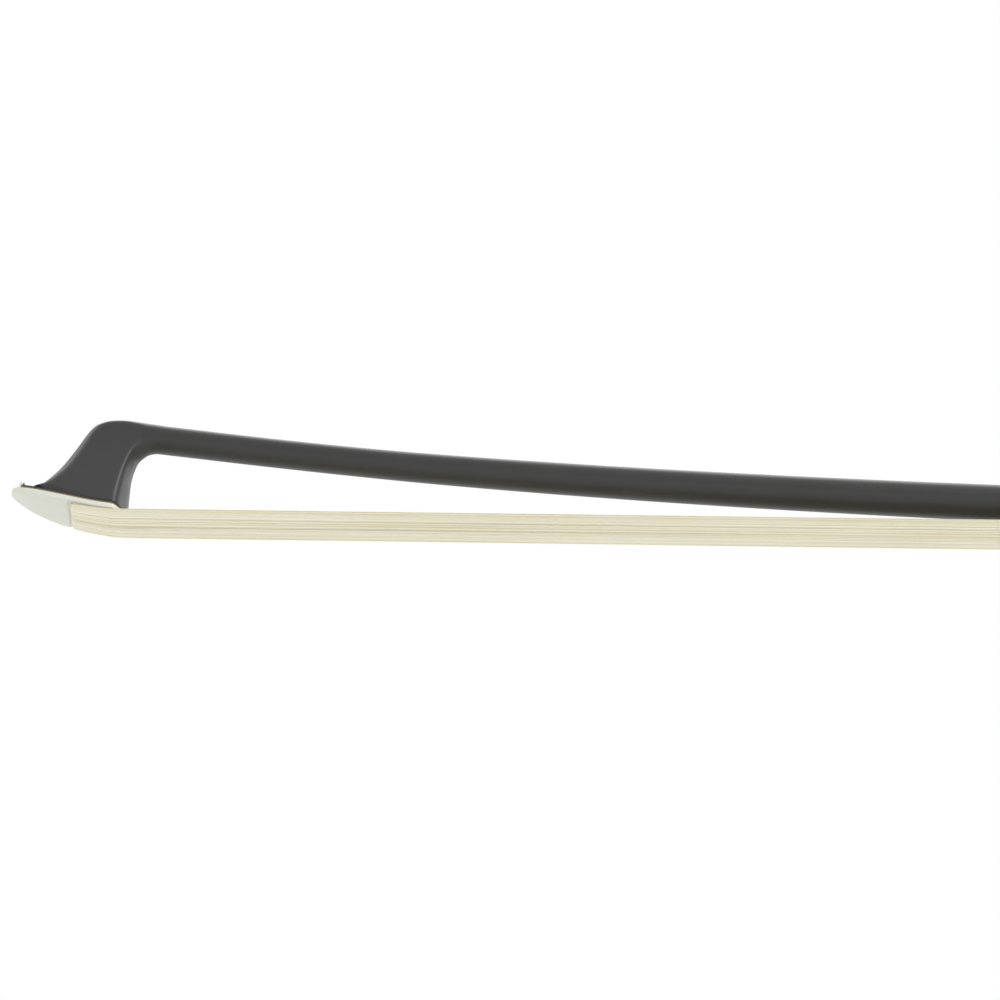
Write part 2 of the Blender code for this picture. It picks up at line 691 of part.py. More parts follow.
def tip_mortise():
    """The hair's mortise in the head, narrower at its roof."""
    levels = (
        (face_height(TIP_MORTISE_END) - CUT_MARGIN, TIP_MORTISE_HALF_WIDTH),
        (face_height(TIP_MORTISE_START), TIP_MORTISE_HALF_WIDTH),
        (TIP_MORTISE_ROOF, TIP_MORTISE_ROOF_HALF_WIDTH),
    )
    rings = []
    for height, half in levels:
        corners = ((TIP_MORTISE_START, -half), (TIP_MORTISE_END, -half))
        corners += ((TIP_MORTISE_END, half), (TIP_MORTISE_START, half))
        rings.append([Vector((x, y, height)) for x, y in corners])
    return loft("tip_mortise", rings, None, BOW)


def make_stick():
    """The moulded stick and head, with the hair's mortise, the eyelet's slot and the screw's bore."""
    nipple = [handle_point(x, 0)[0] for x in (BUTT_X + NIPPLE_LENGTH, BUTT_X)]
    rings = [round_ring(station, lambda angle: NIPPLE_RADIUS) for station in nipple]
    rings += [stick_ring(station) for station in stick_stations()]
    stick = loft("stick", rings + head_rings(), CARBON, BOW)
    below_face = prism(
        "below_face",
        [face_outline(-CUT_MARGIN, HEAD_START, HEAD_BASE_RISE, 2 * CUT_MARGIN)],
        SIDE_VIEW,
        -2 * PLATE_HALF_WIDTH,
        2 * PLATE_HALF_WIDTH,
        None,
        BOW,
    )
    slot_half = EYELET_HALF_WIDTH + RUNNING_GAP
    slot = box(
        "eyelet_slot",
        (EYELET_X - EYELET_LENGTH / 2 - LOOSEN_TRAVEL - SLOT_MARGIN, -slot_half, -APOTHEM - CUT_MARGIN),
        (EYELET_X + EYELET_LENGTH / 2 + TIGHTEN_TRAVEL + SLOT_MARGIN, slot_half, EYELET_RADIUS + RUNNING_GAP),
        None,
        HANDLE,
    )
    nose_room = THREAD_START - NOSE_LENGTH - SLOT_MARGIN
    step = NOSE_LENGTH - SLOT_MARGIN
    bore = turned(
        "screw_bore",
        [
            (0, NOSE_RADIUS + RUNNING_GAP),
            (step, NOSE_RADIUS + RUNNING_GAP),
            (step, SCREW_RADIUS + RUNNING_GAP),
            (BUTT_X + NIPPLE_LENGTH + CUT_MARGIN - nose_room, SCREW_RADIUS + RUNNING_GAP),
        ],
        (nose_room, 0, 0),
        (1, 0, 0),
        None,
        HANDLE,
    )
    return combine(stick, below_face, tip_mortise(), slot, bore)


def spur_height(station):
    """How far the plate's middle stands above its edges near the beak."""
    if station <= SPUR_PEAK:
        return SPUR_HEIGHT * station / SPUR_PEAK
    return SPUR_HEIGHT * max(SPUR_END - station, 0.0) / (SPUR_END - SPUR_PEAK)


def plate_ring(station, proud):
    """The plate's section: flat below, softened at its edges, and ridged on top near the beak."""
    half = plate_half_width(station)
    edge = min(PLATE_EDGE, half / 3)
    under = face_height(station) - proud
    top = face_height(station) + PLATE_THICKNESS
    spur = spur_height(station)
    side = [
        (0, under),
        (half - edge, under),
        (half, under + edge),
        (half, top),
        (half * SPUR_FLANK[0], top + spur * SPUR_FLANK[1]),
        (0, top + spur),
    ]
    return whole_ring([Vector((station, y, z)) for y, z in side])


def make_tip_plate(opening):
    """The white plate on the head's face, with its upturned spur at the beak."""
    beak = [SPUR_PEAK * share for share in BEAK_SHARES] + [SPUR_END]
    step = TIP_MORTISE_START - PLATE_STEP_RUN
    nose = places_between(SPUR_END, step, PLATE_STEPS)[1:]
    rear = rear_places(TIP_MORTISE_START, PLATE_REAR_STEPS)
    rings = [plate_ring(place, PLATE_STEP) for place in beak + nose]
    rings += [plate_ring(place, 0.0) for place in rear]
    return combine(loft("tip_plate", rings, IVORY_PLASTIC, BOW), opening)


def make_tip_liner(opening):
    """The thin black fibre between the plate and the head."""
    middle = PLATE_THICKNESS + GLUE_GAP + LINER_THICKNESS / 2
    nose = places_between(LINER_START, TIP_MORTISE_END, FACE_STEPS)
    places = nose[:-1] + rear_places(TIP_MORTISE_END, PLATE_REAR_STEPS)
    line = [(place, face_height(place) + middle, 2 * plate_half_width(place)) for place in places]
    return combine(ribbon("tip_liner", line, LINER_THICKNESS, BLACK_FIBRE, BOW), opening)


def make_tip_plug():
    """The wooden plug that locks the knot, with the hair passing in front of it and under it."""
    start = TIP_MORTISE_START + HAIR_THICKNESS + 3 * GLUE_GAP
    end = TIP_MORTISE_END - GLUE_GAP
    top = TIP_MORTISE_ROOF - KNOT_ROOM
    outline = [(start, face_height(start)), (end, face_height(end)), (end, top), (start, top)]
    half = TIP_MORTISE_ROOF_HALF_WIDTH - GLUE_GAP
    return prism("tip_plug", [outline], SIDE_VIEW, -half, half, MAPLE, BOW)


def make_knot(name, foot, frame):
    """The hair's bound end: a short barrel that the thread pulls in at its middle."""
    rim, waist = KNOT_LENGTH * KNOT_RIM, KNOT_LENGTH * KNOT_BINDING
    profile = [
        (0, KNOT_RADIUS - KNOT_WAIST / 2),
        (rim, KNOT_RADIUS),
        (waist, KNOT_RADIUS - KNOT_WAIST),
        (KNOT_LENGTH - waist, KNOT_RADIUS - KNOT_WAIST),
        (KNOT_LENGTH - rim, KNOT_RADIUS),
        (KNOT_LENGTH, KNOT_RADIUS - KNOT_WAIST / 2),
    ]
    return turned(name, profile, foot, (0, 0, 1), THREAD, frame)


def hair_in_head():
    """The middle of the hair from the tip knot, round the mortise's edge and along the plate."""
    half = HAIR_THICKNESS / 2
    wall = TIP_MORTISE_START + GLUE_GAP + half
    turn_x = wall + HAIR_BEND_RADIUS
    turn_z = face_height(turn_x) - GLUE_GAP - half + HAIR_BEND_RADIUS
    steps = ARC_STEPS // 2
    line = [(wall, TIP_MORTISE_ROOF - KNOT_ROOM, HAIR_WIDTH_IN_HEAD)]
    for i, (x, z) in enumerate(arc((turn_x, turn_z), HAIR_BEND_RADIUS, math.pi, 1.5 * math.pi, steps)):
        line.append((x, z, HAIR_WIDTH_IN_HEAD + (HAIR_WIDTH_AT_STEP - HAIR_WIDTH_IN_HEAD) * i / steps))
    for i in range(1, ARC_STEPS + 1):
        x = turn_x + (PLATE_LENGTH - turn_x) * i / ARC_STEPS
        width = HAIR_WIDTH_AT_STEP + (HAIR_WIDTH_AT_HEEL - HAIR_WIDTH_AT_STEP) * i / ARC_STEPS
        line.append((x, face_height(x) - GLUE_GAP - half, width))
    return line


def hair_in_frog():
    """The middle of the hair from the ferrule's mouth to the frog's knot."""
    half = HAIR_THICKNESS / 2
    rear = FROG_MORTISE_END - GLUE_GAP - half
    turn = (rear - HAIR_BEND_RADIUS, CHANNEL_HAIR_Z + HAIR_BEND_RADIUS)
    line = [
        (0, MOUTH_HAIR_Z + half, HAIR_WIDTH_AT_FROG),
        (WEDGE_FLAT + 4 * GLUE_GAP, MOUTH_HAIR_Z + half, HAIR_WIDTH_AT_FROG),
        (SHOULDER_X, CHANNEL_HAIR_Z, HAIR_WIDTH_IN_FROG),
    ]
    for x, z in arc(turn, HAIR_BEND_RADIUS, -0.5 * math.pi, 0, ARC_STEPS // 2):
        line.append((x, z, HAIR_WIDTH_IN_FROG))
    line.append((rear, FROG_MORTISE_ROOF_Z - KNOT_ROOM, HAIR_WIDTH_IN_HEAD))
    return [(*handle_point(x, z), width) for x, z, width in line]


def make_hair():
    """The hank as one flat ribbon, from the knot in the head to the knot in the frog."""
    free = [
        (HEAD_START, HAIR_THICKNESS / 2, HAIR_WIDTH_FREE),
        (FERRULE_STATION / 2, HAIR_THICKNESS / 2, (HAIR_WIDTH_FREE + HAIR_WIDTH_AT_FROG) / 2),
    ]
    line = hair_in_head() + free + hair_in_frog()
    return ribbon("hair_ribbon", line, HAIR_THICKNESS, HORSEHAIR, BOW)


def make_sleeve(name, start, end, thickness, material):
    """A sleeve round the stick, from one station to another."""
    between = [station for station in reversed(stick_stations()) if start < station < end]
    rings = [stick_ring(station, GLUE_GAP) for station in (start, *between, end)]
    inside = loft(name, rings, material, BOW, capped=False)
    return thicken(inside, thickness, 1.0)


def make_grip():
    """The thumb leather in front of the frog, and the silver winding in front of that."""
    leather_end = LEATHER_START + LEATHER_LENGTH
    winding_end = WINDING_START + WINDING_LENGTH
    make_sleeve("thumb_leather", LEATHER_START, leather_end, LEATHER_THICKNESS, LEATHER)
    make_sleeve("wire_winding", WINDING_START, winding_end, WINDING_THICKNESS, SILVER_WIRE)


def ferrule_outline(inset):
    """The ferrule's D section, as (y, z): flat below and arched above."""
    half = FERRULE_HALF_WIDTH - inset
    base = BASE_Z + inset
    corner = FERRULE_CORNER - inset / 2
    spring = BASE_Z + FERRULE_HEIGHT - FERRULE_ARCH
    arch = FERRULE_ARCH - inset
    right = arc((half - corner, base + corner), corner, -math.pi / 2, 0, ARC_STEPS // 2)
    quarter = places_between(0, math.pi / 2, ARC_STEPS)[:-1]
    right += [(half * math.cos(angle), spring + arch * math.sin(angle)) for angle in quarter]
    return right + [(0, spring + arch)] + [(-y, z) for y, z in reversed(right)]


def make_ferrule():
    outlines = [ferrule_outline(0.0), ferrule_outline(FERRULE_WALL)]
    return prism("ferrule", outlines, END_VIEW, 0.0, FERRULE_LENGTH, NICKEL, FROG)


def trough(offset):
    """The handle's three lower flats grown by offset, as (y, z), from the left edge to the right."""
    apothem = APOTHEM + offset
    corner = apothem * math.tan(math.pi / 8)
    right = [(corner, -apothem), (apothem, -corner), (apothem, -FROG_EDGE_DROP)]
    return [(-y, z) for y, z in reversed(right)] + right


def frog_section():
    """The frog across the stick, as (y, z): a flat base, hollow flanks and the trough on top."""
    flat = FROG_EDGE_FLAT
    straight_top = BASE_Z + FROG_FLANK_HEIGHT
    right = [
        (FROG_HALF_WIDTH - flat, BASE_Z),
        (FROG_HALF_WIDTH, BASE_Z + flat),
        (FROG_HALF_WIDTH, straight_top),
    ]
    hollow = (FROG_HALF_WIDTH + FROG_TOP_HALF_WIDTH) / 2 - FROG_WAIST_HALF_WIDTH
    for i in range(1, FLANK_STEPS + 1):
        share = i / FLANK_STEPS
        chord = FROG_HALF_WIDTH + (FROG_TOP_HALF_WIDTH - FROG_HALF_WIDTH) * share
        depth = hollow * math.sin(math.pi * share) ** FROG_FLANK_EASE if i < FLANK_STEPS else 0.0
        right.append((chord - depth, straight_top - (FROG_EDGE_DROP + straight_top) * share))
    seat = trough(RUNNING_GAP + UNDERSLIDE_THICKNESS + GLUE_GAP)
    return right + list(reversed(seat)) + [(-y, z) for y, z in reversed(right)]


def hollow_line(low, high, depth, skew):
    """Points of a shallow hollow between two (x, z) points, depth being how far it bows towards +x."""
    points = []
    for i in range(1, ARC_STEPS):
        share = i / ARC_STEPS
        bow = depth * math.sin(math.pi * share**skew)
        points.append((low[0] + (high[0] - low[0]) * share + bow, low[1] + (high[1] - low[1]) * share))
    return points


def frog_outline():
    """The frog from the side, as (x, z): heel, top, hollow thumb front and the shoulder."""
    above = -FROG_EDGE_DROP + CUT_MARGIN
    below = BASE_Z - CUT_MARGIN
    heel_low = (FROG_LENGTH, BASE_Z + HEEL_PLATE_HEIGHT + GLUE_GAP)
    heel_high = (FROG_LENGTH, -FROG_EDGE_DROP)
    thumb = (FROG_FRONT_X, -APOTHEM + THUMB_EDGE)
    shoulder = (SHOULDER_X, BASE_Z + FERRULE_HEIGHT)
    heel = [(FROG_LENGTH, below), heel_low, *hollow_line(heel_low, heel_high, -HEEL_HOLLOW, 1.0), heel_high]
    front = [(FROG_FRONT_X, above), thumb, *hollow_line(thumb, shoulder, THROAT_DEPTH, THROAT_SKEW), shoulder]
    return [*heel, (FROG_LENGTH, above), *front, (SHOULDER_X, below)]


def frog_form():
    """The frog's whole outer form, which the body and its flush pieces are trimmed to."""
    form = prism(
        "frog_form",
        [frog_section()],
        END_VIEW,
        FROG_FRONT_X - CUT_MARGIN,
        FROG_LENGTH + CUT_MARGIN,
        None,
        FROG,
    )
    side = prism(
        "frog_side_form",
        [frog_outline()],
        SIDE_VIEW,
        -2 * FROG_HALF_WIDTH,
        2 * FROG_HALF_WIDTH,
        None,
        FROG,
    )
    return combine(form, side, operation="INTERSECT")


def copy_of(source, name, material):
    """Another object with the source's shape, place and Boolean modifiers."""
    made = link_piece(name, source.data.copy(), material, source.parent)
    made.location = source.location
    made.rotation_euler = source.rotation_euler
    for old in source.modifiers:
        combine(made, old.object, operation=old.operation)
    return made


def heel_outline(start, thickness):
    """The heel plate's L from the side, as (x, z), running past the frog's surface."""
    below, behind = BASE_Z - CUT_MARGIN, FROG_LENGTH + CUT_MARGIN
    top = BASE_Z + HEEL_PLATE_HEIGHT
    inner_x, inner_z = FROG_LENGTH - thickness, BASE_Z + thickness
    outer = [(start, below), (behind, below), (behind, top)]
    return outer + [(inner_x, top), (inner_x, inner_z), (start, inner_z)]


def slide_outline(low, high, grow=0.0):
    """The slide's dovetail between two heights above the base, as (y, z)."""
    return mirrored(
        [
            (SLIDE_HALF_WIDTH + DOVETAIL * low + grow, BASE_Z + low),
            (SLIDE_HALF_WIDTH + DOVETAIL * high + grow, BASE_Z + high),
        ]
    )


def pin_places():
    """Each pin's name, where its head is, which way that looks and how deep it is sunk."""
    slide_z = -(APOTHEM + RUNNING_GAP)
    heel_z = BASE_Z + HEEL_PLATE_HEIGHT - HEEL_PIN_INSET
    return (
        ("heel_plate_pin_base", (FROG_LENGTH - BASE_PIN_INSET, 0, BASE_Z), (0, 0, -1), 0.0),
        ("heel_plate_pin_back", (FROG_LENGTH, 0, heel_z), (1, 0, 0), 0.0),
        ("underslide_pin_front", (FROG_FRONT_X + UNDERSLIDE_PIN_INSET, 0, slide_z), (0, 0, 1), GLUE_GAP),
        ("underslide_pin_back", (FROG_LENGTH - UNDERSLIDE_PIN_INSET, 0, slide_z), (0, 0, 1), GLUE_GAP),
    )


def make_pins():
    """Makes the four pins, and gives the hole for each one by its name."""
    holes = {}
    for name, place, outward, sunk in pin_places():
        foot = Vector(place) - Vector(outward) * PIN_LENGTH
        cylinder(name, PIN_RADIUS, PIN_LENGTH - sunk, foot, outward, NICKEL, FROG)
        holes[name] = cylinder(
            f"{name}_hole",
            PIN_RADIUS + GLUE_GAP,
            PIN_LENGTH + GLUE_GAP + CUT_MARGIN,
            foot - Vector(outward) * GLUE_GAP,
            outward,
            None,
            FROG,
        )
    return holes


def make_eyes(form, frog):
    """The pearl eye and its metal ring in each flank, trimmed flush with the hollow side."""
    bottom = FROG_WAIST_HALF_WIDTH - EYE_DEPTH
    reach = FROG_HALF_WIDTH + CUT_MARGIN
    middle = (EYE_X, -EYE_DROP)
    ring_in, ring_out = RING_RADIUS - RING_WIDTH / 2, RING_RADIUS + RING_WIDTH / 2
    disc = [circle(middle, EYE_RADIUS)]
    hoop = [circle(middle, ring_out), circle(middle, ring_in)]
    pocket = [circle(middle, EYE_RADIUS + GLUE_GAP)]
    groove = [circle(middle, ring_out + GLUE_GAP), circle(middle, ring_in - GLUE_GAP)]
    for side, word in ((1, "left"), (-1, "right")):
        inlay = sorted((side * bottom, side * reach))
        recess = sorted((side * (bottom - GLUE_GAP), side * reach))
        pearl = prism(f"eye_pearl_{word}", disc, SIDE_VIEW, *inlay, PEARL, FROG)
        ring = prism(f"eye_ring_{word}", hoop, SIDE_VIEW, *inlay, NICKEL, FROG)
        for piece in (pearl, ring):
            combine(piece, form, operation="INTERSECT")
        combine(
            frog,
            prism(f"eye_pocket_{word}", pocket, SIDE_VIEW, *recess, None, FROG),
            prism(f"eye_groove_{word}", groove, SIDE_VIEW, *recess, None, FROG),
        )


def frog_cutters():
    """What is cut from the frog: under its tongue, the slide's groove, the hair's way and the heel."""
    wide = 2 * FROG_HALF_WIDTH
    channel_half = HAIR_WIDTH_AT_FROG / 2 + GLUE_GAP
    under_tongue = box(
        "under_tongue",
        (-CUT_MARGIN, -wide, BASE_Z - CUT_MARGIN),
        (SHOULDER_X - GLUE_GAP, wide, WEDGE_TOP_Z + GLUE_GAP),
        None,
        FROG,
    )
    groove = prism(
        "slide_groove",
        [slide_outline(-CUT_MARGIN, SLIDE_TOP_Z - BASE_Z + GLUE_GAP, GLUE_GAP)],
        END_VIEW,
        SHOULDER_X - CUT_MARGIN,
        SLIDE_END + GLUE_GAP,
        None,
        FROG,
    )
    channel = box(
        "hair_channel",
        (SHOULDER_X - CUT_MARGIN, -channel_half, BASE_Z),
        (FROG_MORTISE_END, channel_half, CHANNEL_ROOF_Z),
        None,
        FROG,
    )
    mortise = box(
        "frog_mortise",
        (FROG_MORTISE_START, -FROG_MORTISE_HALF_WIDTH, BASE_Z),
        (FROG_MORTISE_END, FROG_MORTISE_HALF_WIDTH, FROG_MORTISE_ROOF_Z),
        None,
        FROG,
    )
    stem_hole = cylinder(
        "stem_hole",
        STEM_RADIUS + GLUE_GAP,
        STEM_LENGTH + GLUE_GAP + CUT_MARGIN,
        (EYELET_X, 0, -APOTHEM - STEM_LENGTH - GLUE_GAP),
        (0, 0, 1),
        None,
        FROG,
    )
    heel = prism(
        "heel_recess",
        [heel_outline(SLIDE_END, HEEL_PLATE_THICKNESS + GLUE_GAP)],
        SIDE_VIEW,
        -wide,
        wide,
        None,
        FROG,
    )
    return under_tongue, groove, channel, mortise, stem_hole, heel


def make_frog_body(form, holes):
    """The ebony frog, with the tongue that the ferrule is pushed over."""
    frog = copy_of(form, "frog_body", EBONY)
    tongue = prism(
        "tongue_form",
        [ferrule_outline(FERRULE_WALL + GLUE_GAP)],
        END_VIEW,
        TONGUE_SETBACK,
        SHOULDER_X + TONGUE_ROOT,
        None,
        FROG,
    )
    combine(frog, tongue, operation="UNION")
    return combine(frog, *frog_cutters(), *holes.values())


def make_heel_plate(form, holes):
    """The L-shaped metal plate that caps the frog's heel."""
    outline = heel_outline(SLIDE_END + GLUE_GAP, HEEL_PLATE_THICKNESS)
    half = 2 * FROG_HALF_WIDTH
    plate = prism("heel_plate", [outline], SIDE_VIEW, -half, half, NICKEL, FROG)
    combine(plate, form, operation="INTERSECT")
    return combine(plate, holes["heel_plate_pin_base"], holes["heel_plate_pin_back"])


def make_slide():
    """The pearl slide and its ebony backing, dovetailed into the frog's base."""
    start = SHOULDER_X + GLUE_GAP
    backing_low = PEARL_THICKNESS + GLUE_GAP
    pearl = slide_outline(0.0, PEARL_THICKNESS)
    backing = slide_outline(backing_low, backing_low + BACKING_THICKNESS)
    prism("slide_pearl", [pearl], END_VIEW, start, SLIDE_END, PEARL, FROG)
    prism("slide_backing", [backing], END_VIEW, start, SLIDE_END, EBONY, FROG)


def make_underslide(holes):
    """The folded metal liner in the frog's trough, with a hole for the eyelet's stem."""
    outline = trough(RUNNING_GAP + UNDERSLIDE_THICKNESS) + list(reversed(trough(RUNNING_GAP)))
    start, end = FROG_FRONT_X + UNDERSLIDE_INSET, FROG_LENGTH - UNDERSLIDE_INSET
    liner = prism("underslide", [outline], END_VIEW, start, end, NICKEL, FROG)
    hole = cylinder(
        "underslide_hole",
        STEM_RADIUS + 2 * GLUE_GAP,
        2 * CUT_MARGIN,
        (EYELET_X, 0, -APOTHEM - CUT_MARGIN),
        (0, 0, 1),
        None,
        FROG,
    )
    return combine(liner, hole, holes["underslide_pin_front"], holes["underslide_pin_back"])


def make_wedge():
    """The maple wedge that spreads the hair flat on the ferrule's floor."""
    outline = [
        (TONGUE_SETBACK, WEDGE_BASE_Z),
        (WEDGE_FLAT, WEDGE_BASE_Z),
        (WEDGE_LENGTH, WEDGE_TOP_Z - WEDGE_EDGE),
        (WEDGE_LENGTH, WEDGE_TOP_Z),
        (TONGUE_SETBACK, WEDGE_TOP_Z),
    ]
    half = FERRULE_HALF_WIDTH - FERRULE_WALL - 2 * GLUE_GAP
    return prism("spread_wedge", [outline], SIDE_VIEW, -half, half, MAPLE, FROG)


def make_frog_plug():
    """The wooden plug that locks the frog's knot, its lower rear edge cut back for the hair."""
    start = FROG_MORTISE_START + GLUE_GAP
    end = FROG_MORTISE_END - HAIR_THICKNESS - 3 * GLUE_GAP
    low = CHANNEL_ROOF_Z
    high = FROG_MORTISE_ROOF_Z - KNOT_ROOM
    relief = HAIR_BEND_RADIUS
    outline = [(start, low), (end - relief, low), (end, low + relief), (end, high), (start, high)]
    half = FROG_MORTISE_HALF_WIDTH - GLUE_GAP
    return prism("frog_plug", [outline], SIDE_VIEW, -half, half, MAPLE, FROG)


def make_eyelet():
    """The brass eyelet: a flat-sided barrel that runs on the screw, and a stem set in the frog."""
    barrel_start = EYELET_X - EYELET_LENGTH / 2
    eyelet = cylinder("eyelet", EYELET_RADIUS, EYELET_LENGTH, (barrel_start, 0, 0), (1, 0, 0), BRASS, FROG)
    stem = cylinder(
        "eyelet_stem",
        STEM_RADIUS,
        STEM_LENGTH + APOTHEM,
        (EYELET_X, 0, -APOTHEM - STEM_LENGTH),
        (0, 0, 1),
        None,
        FROG,
    )
    flats = box(
        "eyelet_flats",
        (EYELET_X - EYELET_LENGTH, -EYELET_HALF_WIDTH, -APOTHEM - STEM_LENGTH - CUT_MARGIN),
        (EYELET_X + EYELET_LENGTH, EYELET_HALF_WIDTH, EYELET_RADIUS + CUT_MARGIN),
        None,
        FROG,
    )
    bore = cylinder(
        "eyelet_bore",
        SCREW_RADIUS + RUNNING_GAP,
        EYELET_LENGTH + 2 * CUT_MARGIN,
        (barrel_start - CUT_MARGIN, 0, 0),
        (1, 0, 0),
        None,
        FROG,
    )
    combine(eyelet, stem, operation="UNION")
    combine(eyelet, flats, operation="INTERSECT")
    return combine(eyelet, bore)


def screw_ring(x, radius_at):
    """A ring across the screw's axis, radius_at giving its radius at each angle."""
    ring = []
    for i in range(SCREW_SIDES):
        angle = 2 * math.pi * i / SCREW_SIDES
        radius = radius_at(angle)
        ring.append(Vector((x, radius * math.cos(angle), radius * math.sin(angle))))
    return ring


def plain_rings(profile):
    return [screw_ring(x, lambda angle, radius=radius: radius) for x, radius in profile]


def thread_rings():
    """Rings of the right-hand thread, whose crest moves round as they go along."""
    count = round(THREAD_LENGTH / SCREW_PITCH * THREAD_RINGS)
    rings = []
    for i in range(count + 1):
        along = THREAD_LENGTH * i / count

        def radius_at(angle, along=along):
            phase = (along / SCREW_PITCH - angle / (2 * math.pi)) % 1.0
            return SCREW_RADIUS - THREAD_DEPTH * abs(2 * phase - 1)

        rings.append(screw_ring(THREAD_START + along, radius_at))
    return rings


def make_screw():
    """The steel screw: a nose that runs in the stick, a thread, a shaft and the button's tang."""
    nose_start = THREAD_START - NOSE_LENGTH
    shaft_start = THREAD_START + THREAD_LENGTH + SLOT_MARGIN
    shaft_end = BUTT_X + NIPPLE_LENGTH
    tang_end = BUTTON_END - DOT_THICKNESS - 3 * GLUE_GAP
    nose = plain_rings(
        [
            (nose_start, NOSE_RADIUS - NOSE_TAPER / 2),
            (nose_start + NOSE_TAPER, NOSE_RADIUS),
            (THREAD_START - SLOT_MARGIN, NOSE_RADIUS),
        ]
    )
    tail = plain_rings(
        [
            (shaft_start, SCREW_RADIUS),
            (shaft_end, SCREW_RADIUS),
            (shaft_end, TANG_RADIUS),
            (tang_end, TANG_RADIUS),
        ]
    )
    return loft("screw_shaft", nose + thread_rings() + tail, STEEL, SCREW)


def octagonal(name, profile, start, material):
    """A piece of the button, turned with eight sides from (distance, apothem) pairs."""
    to_corner = 1 / math.cos(math.pi / 8)
    corners = [(distance, apothem * to_corner) for distance, apothem in profile]
    piece = turned(name, corners, (start, 0, 0), (1, 0, 0), material, SCREW, sides=8)
    piece.rotation_euler.rotate_axis("Z", math.pi / 8)
    return piece


def make_button():
    """The octagonal button: two metal collars on an ebony core, with a pearl dot in its end."""
    shares = places_between(0, 1, CORE_STEPS)
    hollow = [(BUTTON_CORE_LENGTH * s, APOTHEM - BUTTON_WAIST * math.sin(math.pi * s)) for s in shares]
    front = octagonal(
        "button_front_collar",
        [(0, APOTHEM - BUTTON_EDGE), (BUTTON_EDGE, APOTHEM), (BUTTON_FRONT_LENGTH, APOTHEM)],
        BUTTON_START,
        NICKEL,
    )
    core = octagonal("button_core", hollow, BUTTON_CORE_START, EBONY)
    end_edge = 2 * BUTTON_EDGE
    end = octagonal(
        "button_end_collar",
        [(0, APOTHEM), (BUTTON_END_LENGTH - end_edge, APOTHEM), (BUTTON_END_LENGTH, APOTHEM - end_edge)],
        BUTTON_END_START,
        NICKEL,
    )
    start = BUTTON_START - CUT_MARGIN
    dot_start = BUTTON_END - DOT_THICKNESS
    along = (1, 0, 0)
    recess = cylinder(
        "nipple_recess",
        NIPPLE_RADIUS + RUNNING_GAP,
        BUTT_X + NIPPLE_LENGTH + RUNNING_GAP - start,
        (start, 0, 0),
        along,
        None,
        SCREW,
    )
    bore = cylinder("tang_bore", TANG_RADIUS + GLUE_GAP, dot_start - start, (start, 0, 0), along, None, SCREW)
    pocket_start = (dot_start - GLUE_GAP, 0, 0)
    pocket = cylinder("dot_pocket", DOT_RADIUS + GLUE_GAP, CUT_MARGIN, pocket_start, along, None, SCREW)
    combine(front, recess, bore)
    combine(core, bore)
    combine(end, bore, pocket)
    dot = [(0, DOT_RADIUS), (DOT_THICKNESS - DOT_EDGE, DOT_RADIUS), (DOT_THICKNESS, DOT_RADIUS - DOT_EDGE)]
    turned("button_pearl_dot", dot, (dot_start, 0, 0), along, PEARL, SCREW)


def make_head_fittings():
    """The plate, its liner and the plug and knot that hold the hair in the head."""
    opening = prism(
        "plate_opening",
        [face_outline(TIP_MORTISE_START, TIP_MORTISE_END, 2 * CUT_MARGIN, 4 * CUT_MARGIN)],
        SIDE_VIEW,
        -PLATE_OPENING_HALF_WIDTH,
        PLATE_OPENING_HALF_WIDTH,
        None,
        BOW,
    )
    make_tip_plate(opening)
    make_tip_liner(opening)
    make_tip_plug()
    knot_x = TIP_MORTISE_START + 3 * GLUE_GAP + KNOT_RADIUS
    make_knot("tip_hair_knot", (knot_x, 0, TIP_MORTISE_ROOF - KNOT_LENGTH - GLUE_GAP), BOW)


def make_frog():
    """The frog and all that is fixed to it."""
    form = frog_form()
    holes = make_pins()
    frog = make_frog_body(form, holes)
    make_eyes(form, frog)
    make_ferrule()
    make_heel_plate(form, holes)
    make_slide()
    make_underslide(holes)
    make_wedge()
    make_frog_plug()
    make_eyelet()
    knot_x = FROG_MORTISE_END - HAIR_THICKNESS - 4 * GLUE_GAP - KNOT_RADIUS
    make_knot("frog_hair_knot", (knot_x, 0, FROG_MORTISE_ROOF_Z - KNOT_LENGTH - GLUE_GAP), FROG)


make_stick()
make_head_fittings()
make_hair()
make_grip()
make_frog()
make_screw()
make_button()
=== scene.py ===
# %% [markdown]
# # A violin bow, seen from its head
# The CAD model gives the bow's size, its pieces and how they move. This lesson dresses it: it draws
# the moulded stick and head, the white plate, the horsehair, the silver winding, the leather, the
# frog and the button finely enough to be looked at closely, and gives each one its finish.
# It starts with the CAD model, because every piece here is placed by it.

# %% Load the CAD model
import json
import math
import random

import bmesh
import bpy
from mathutils import Matrix, Vector


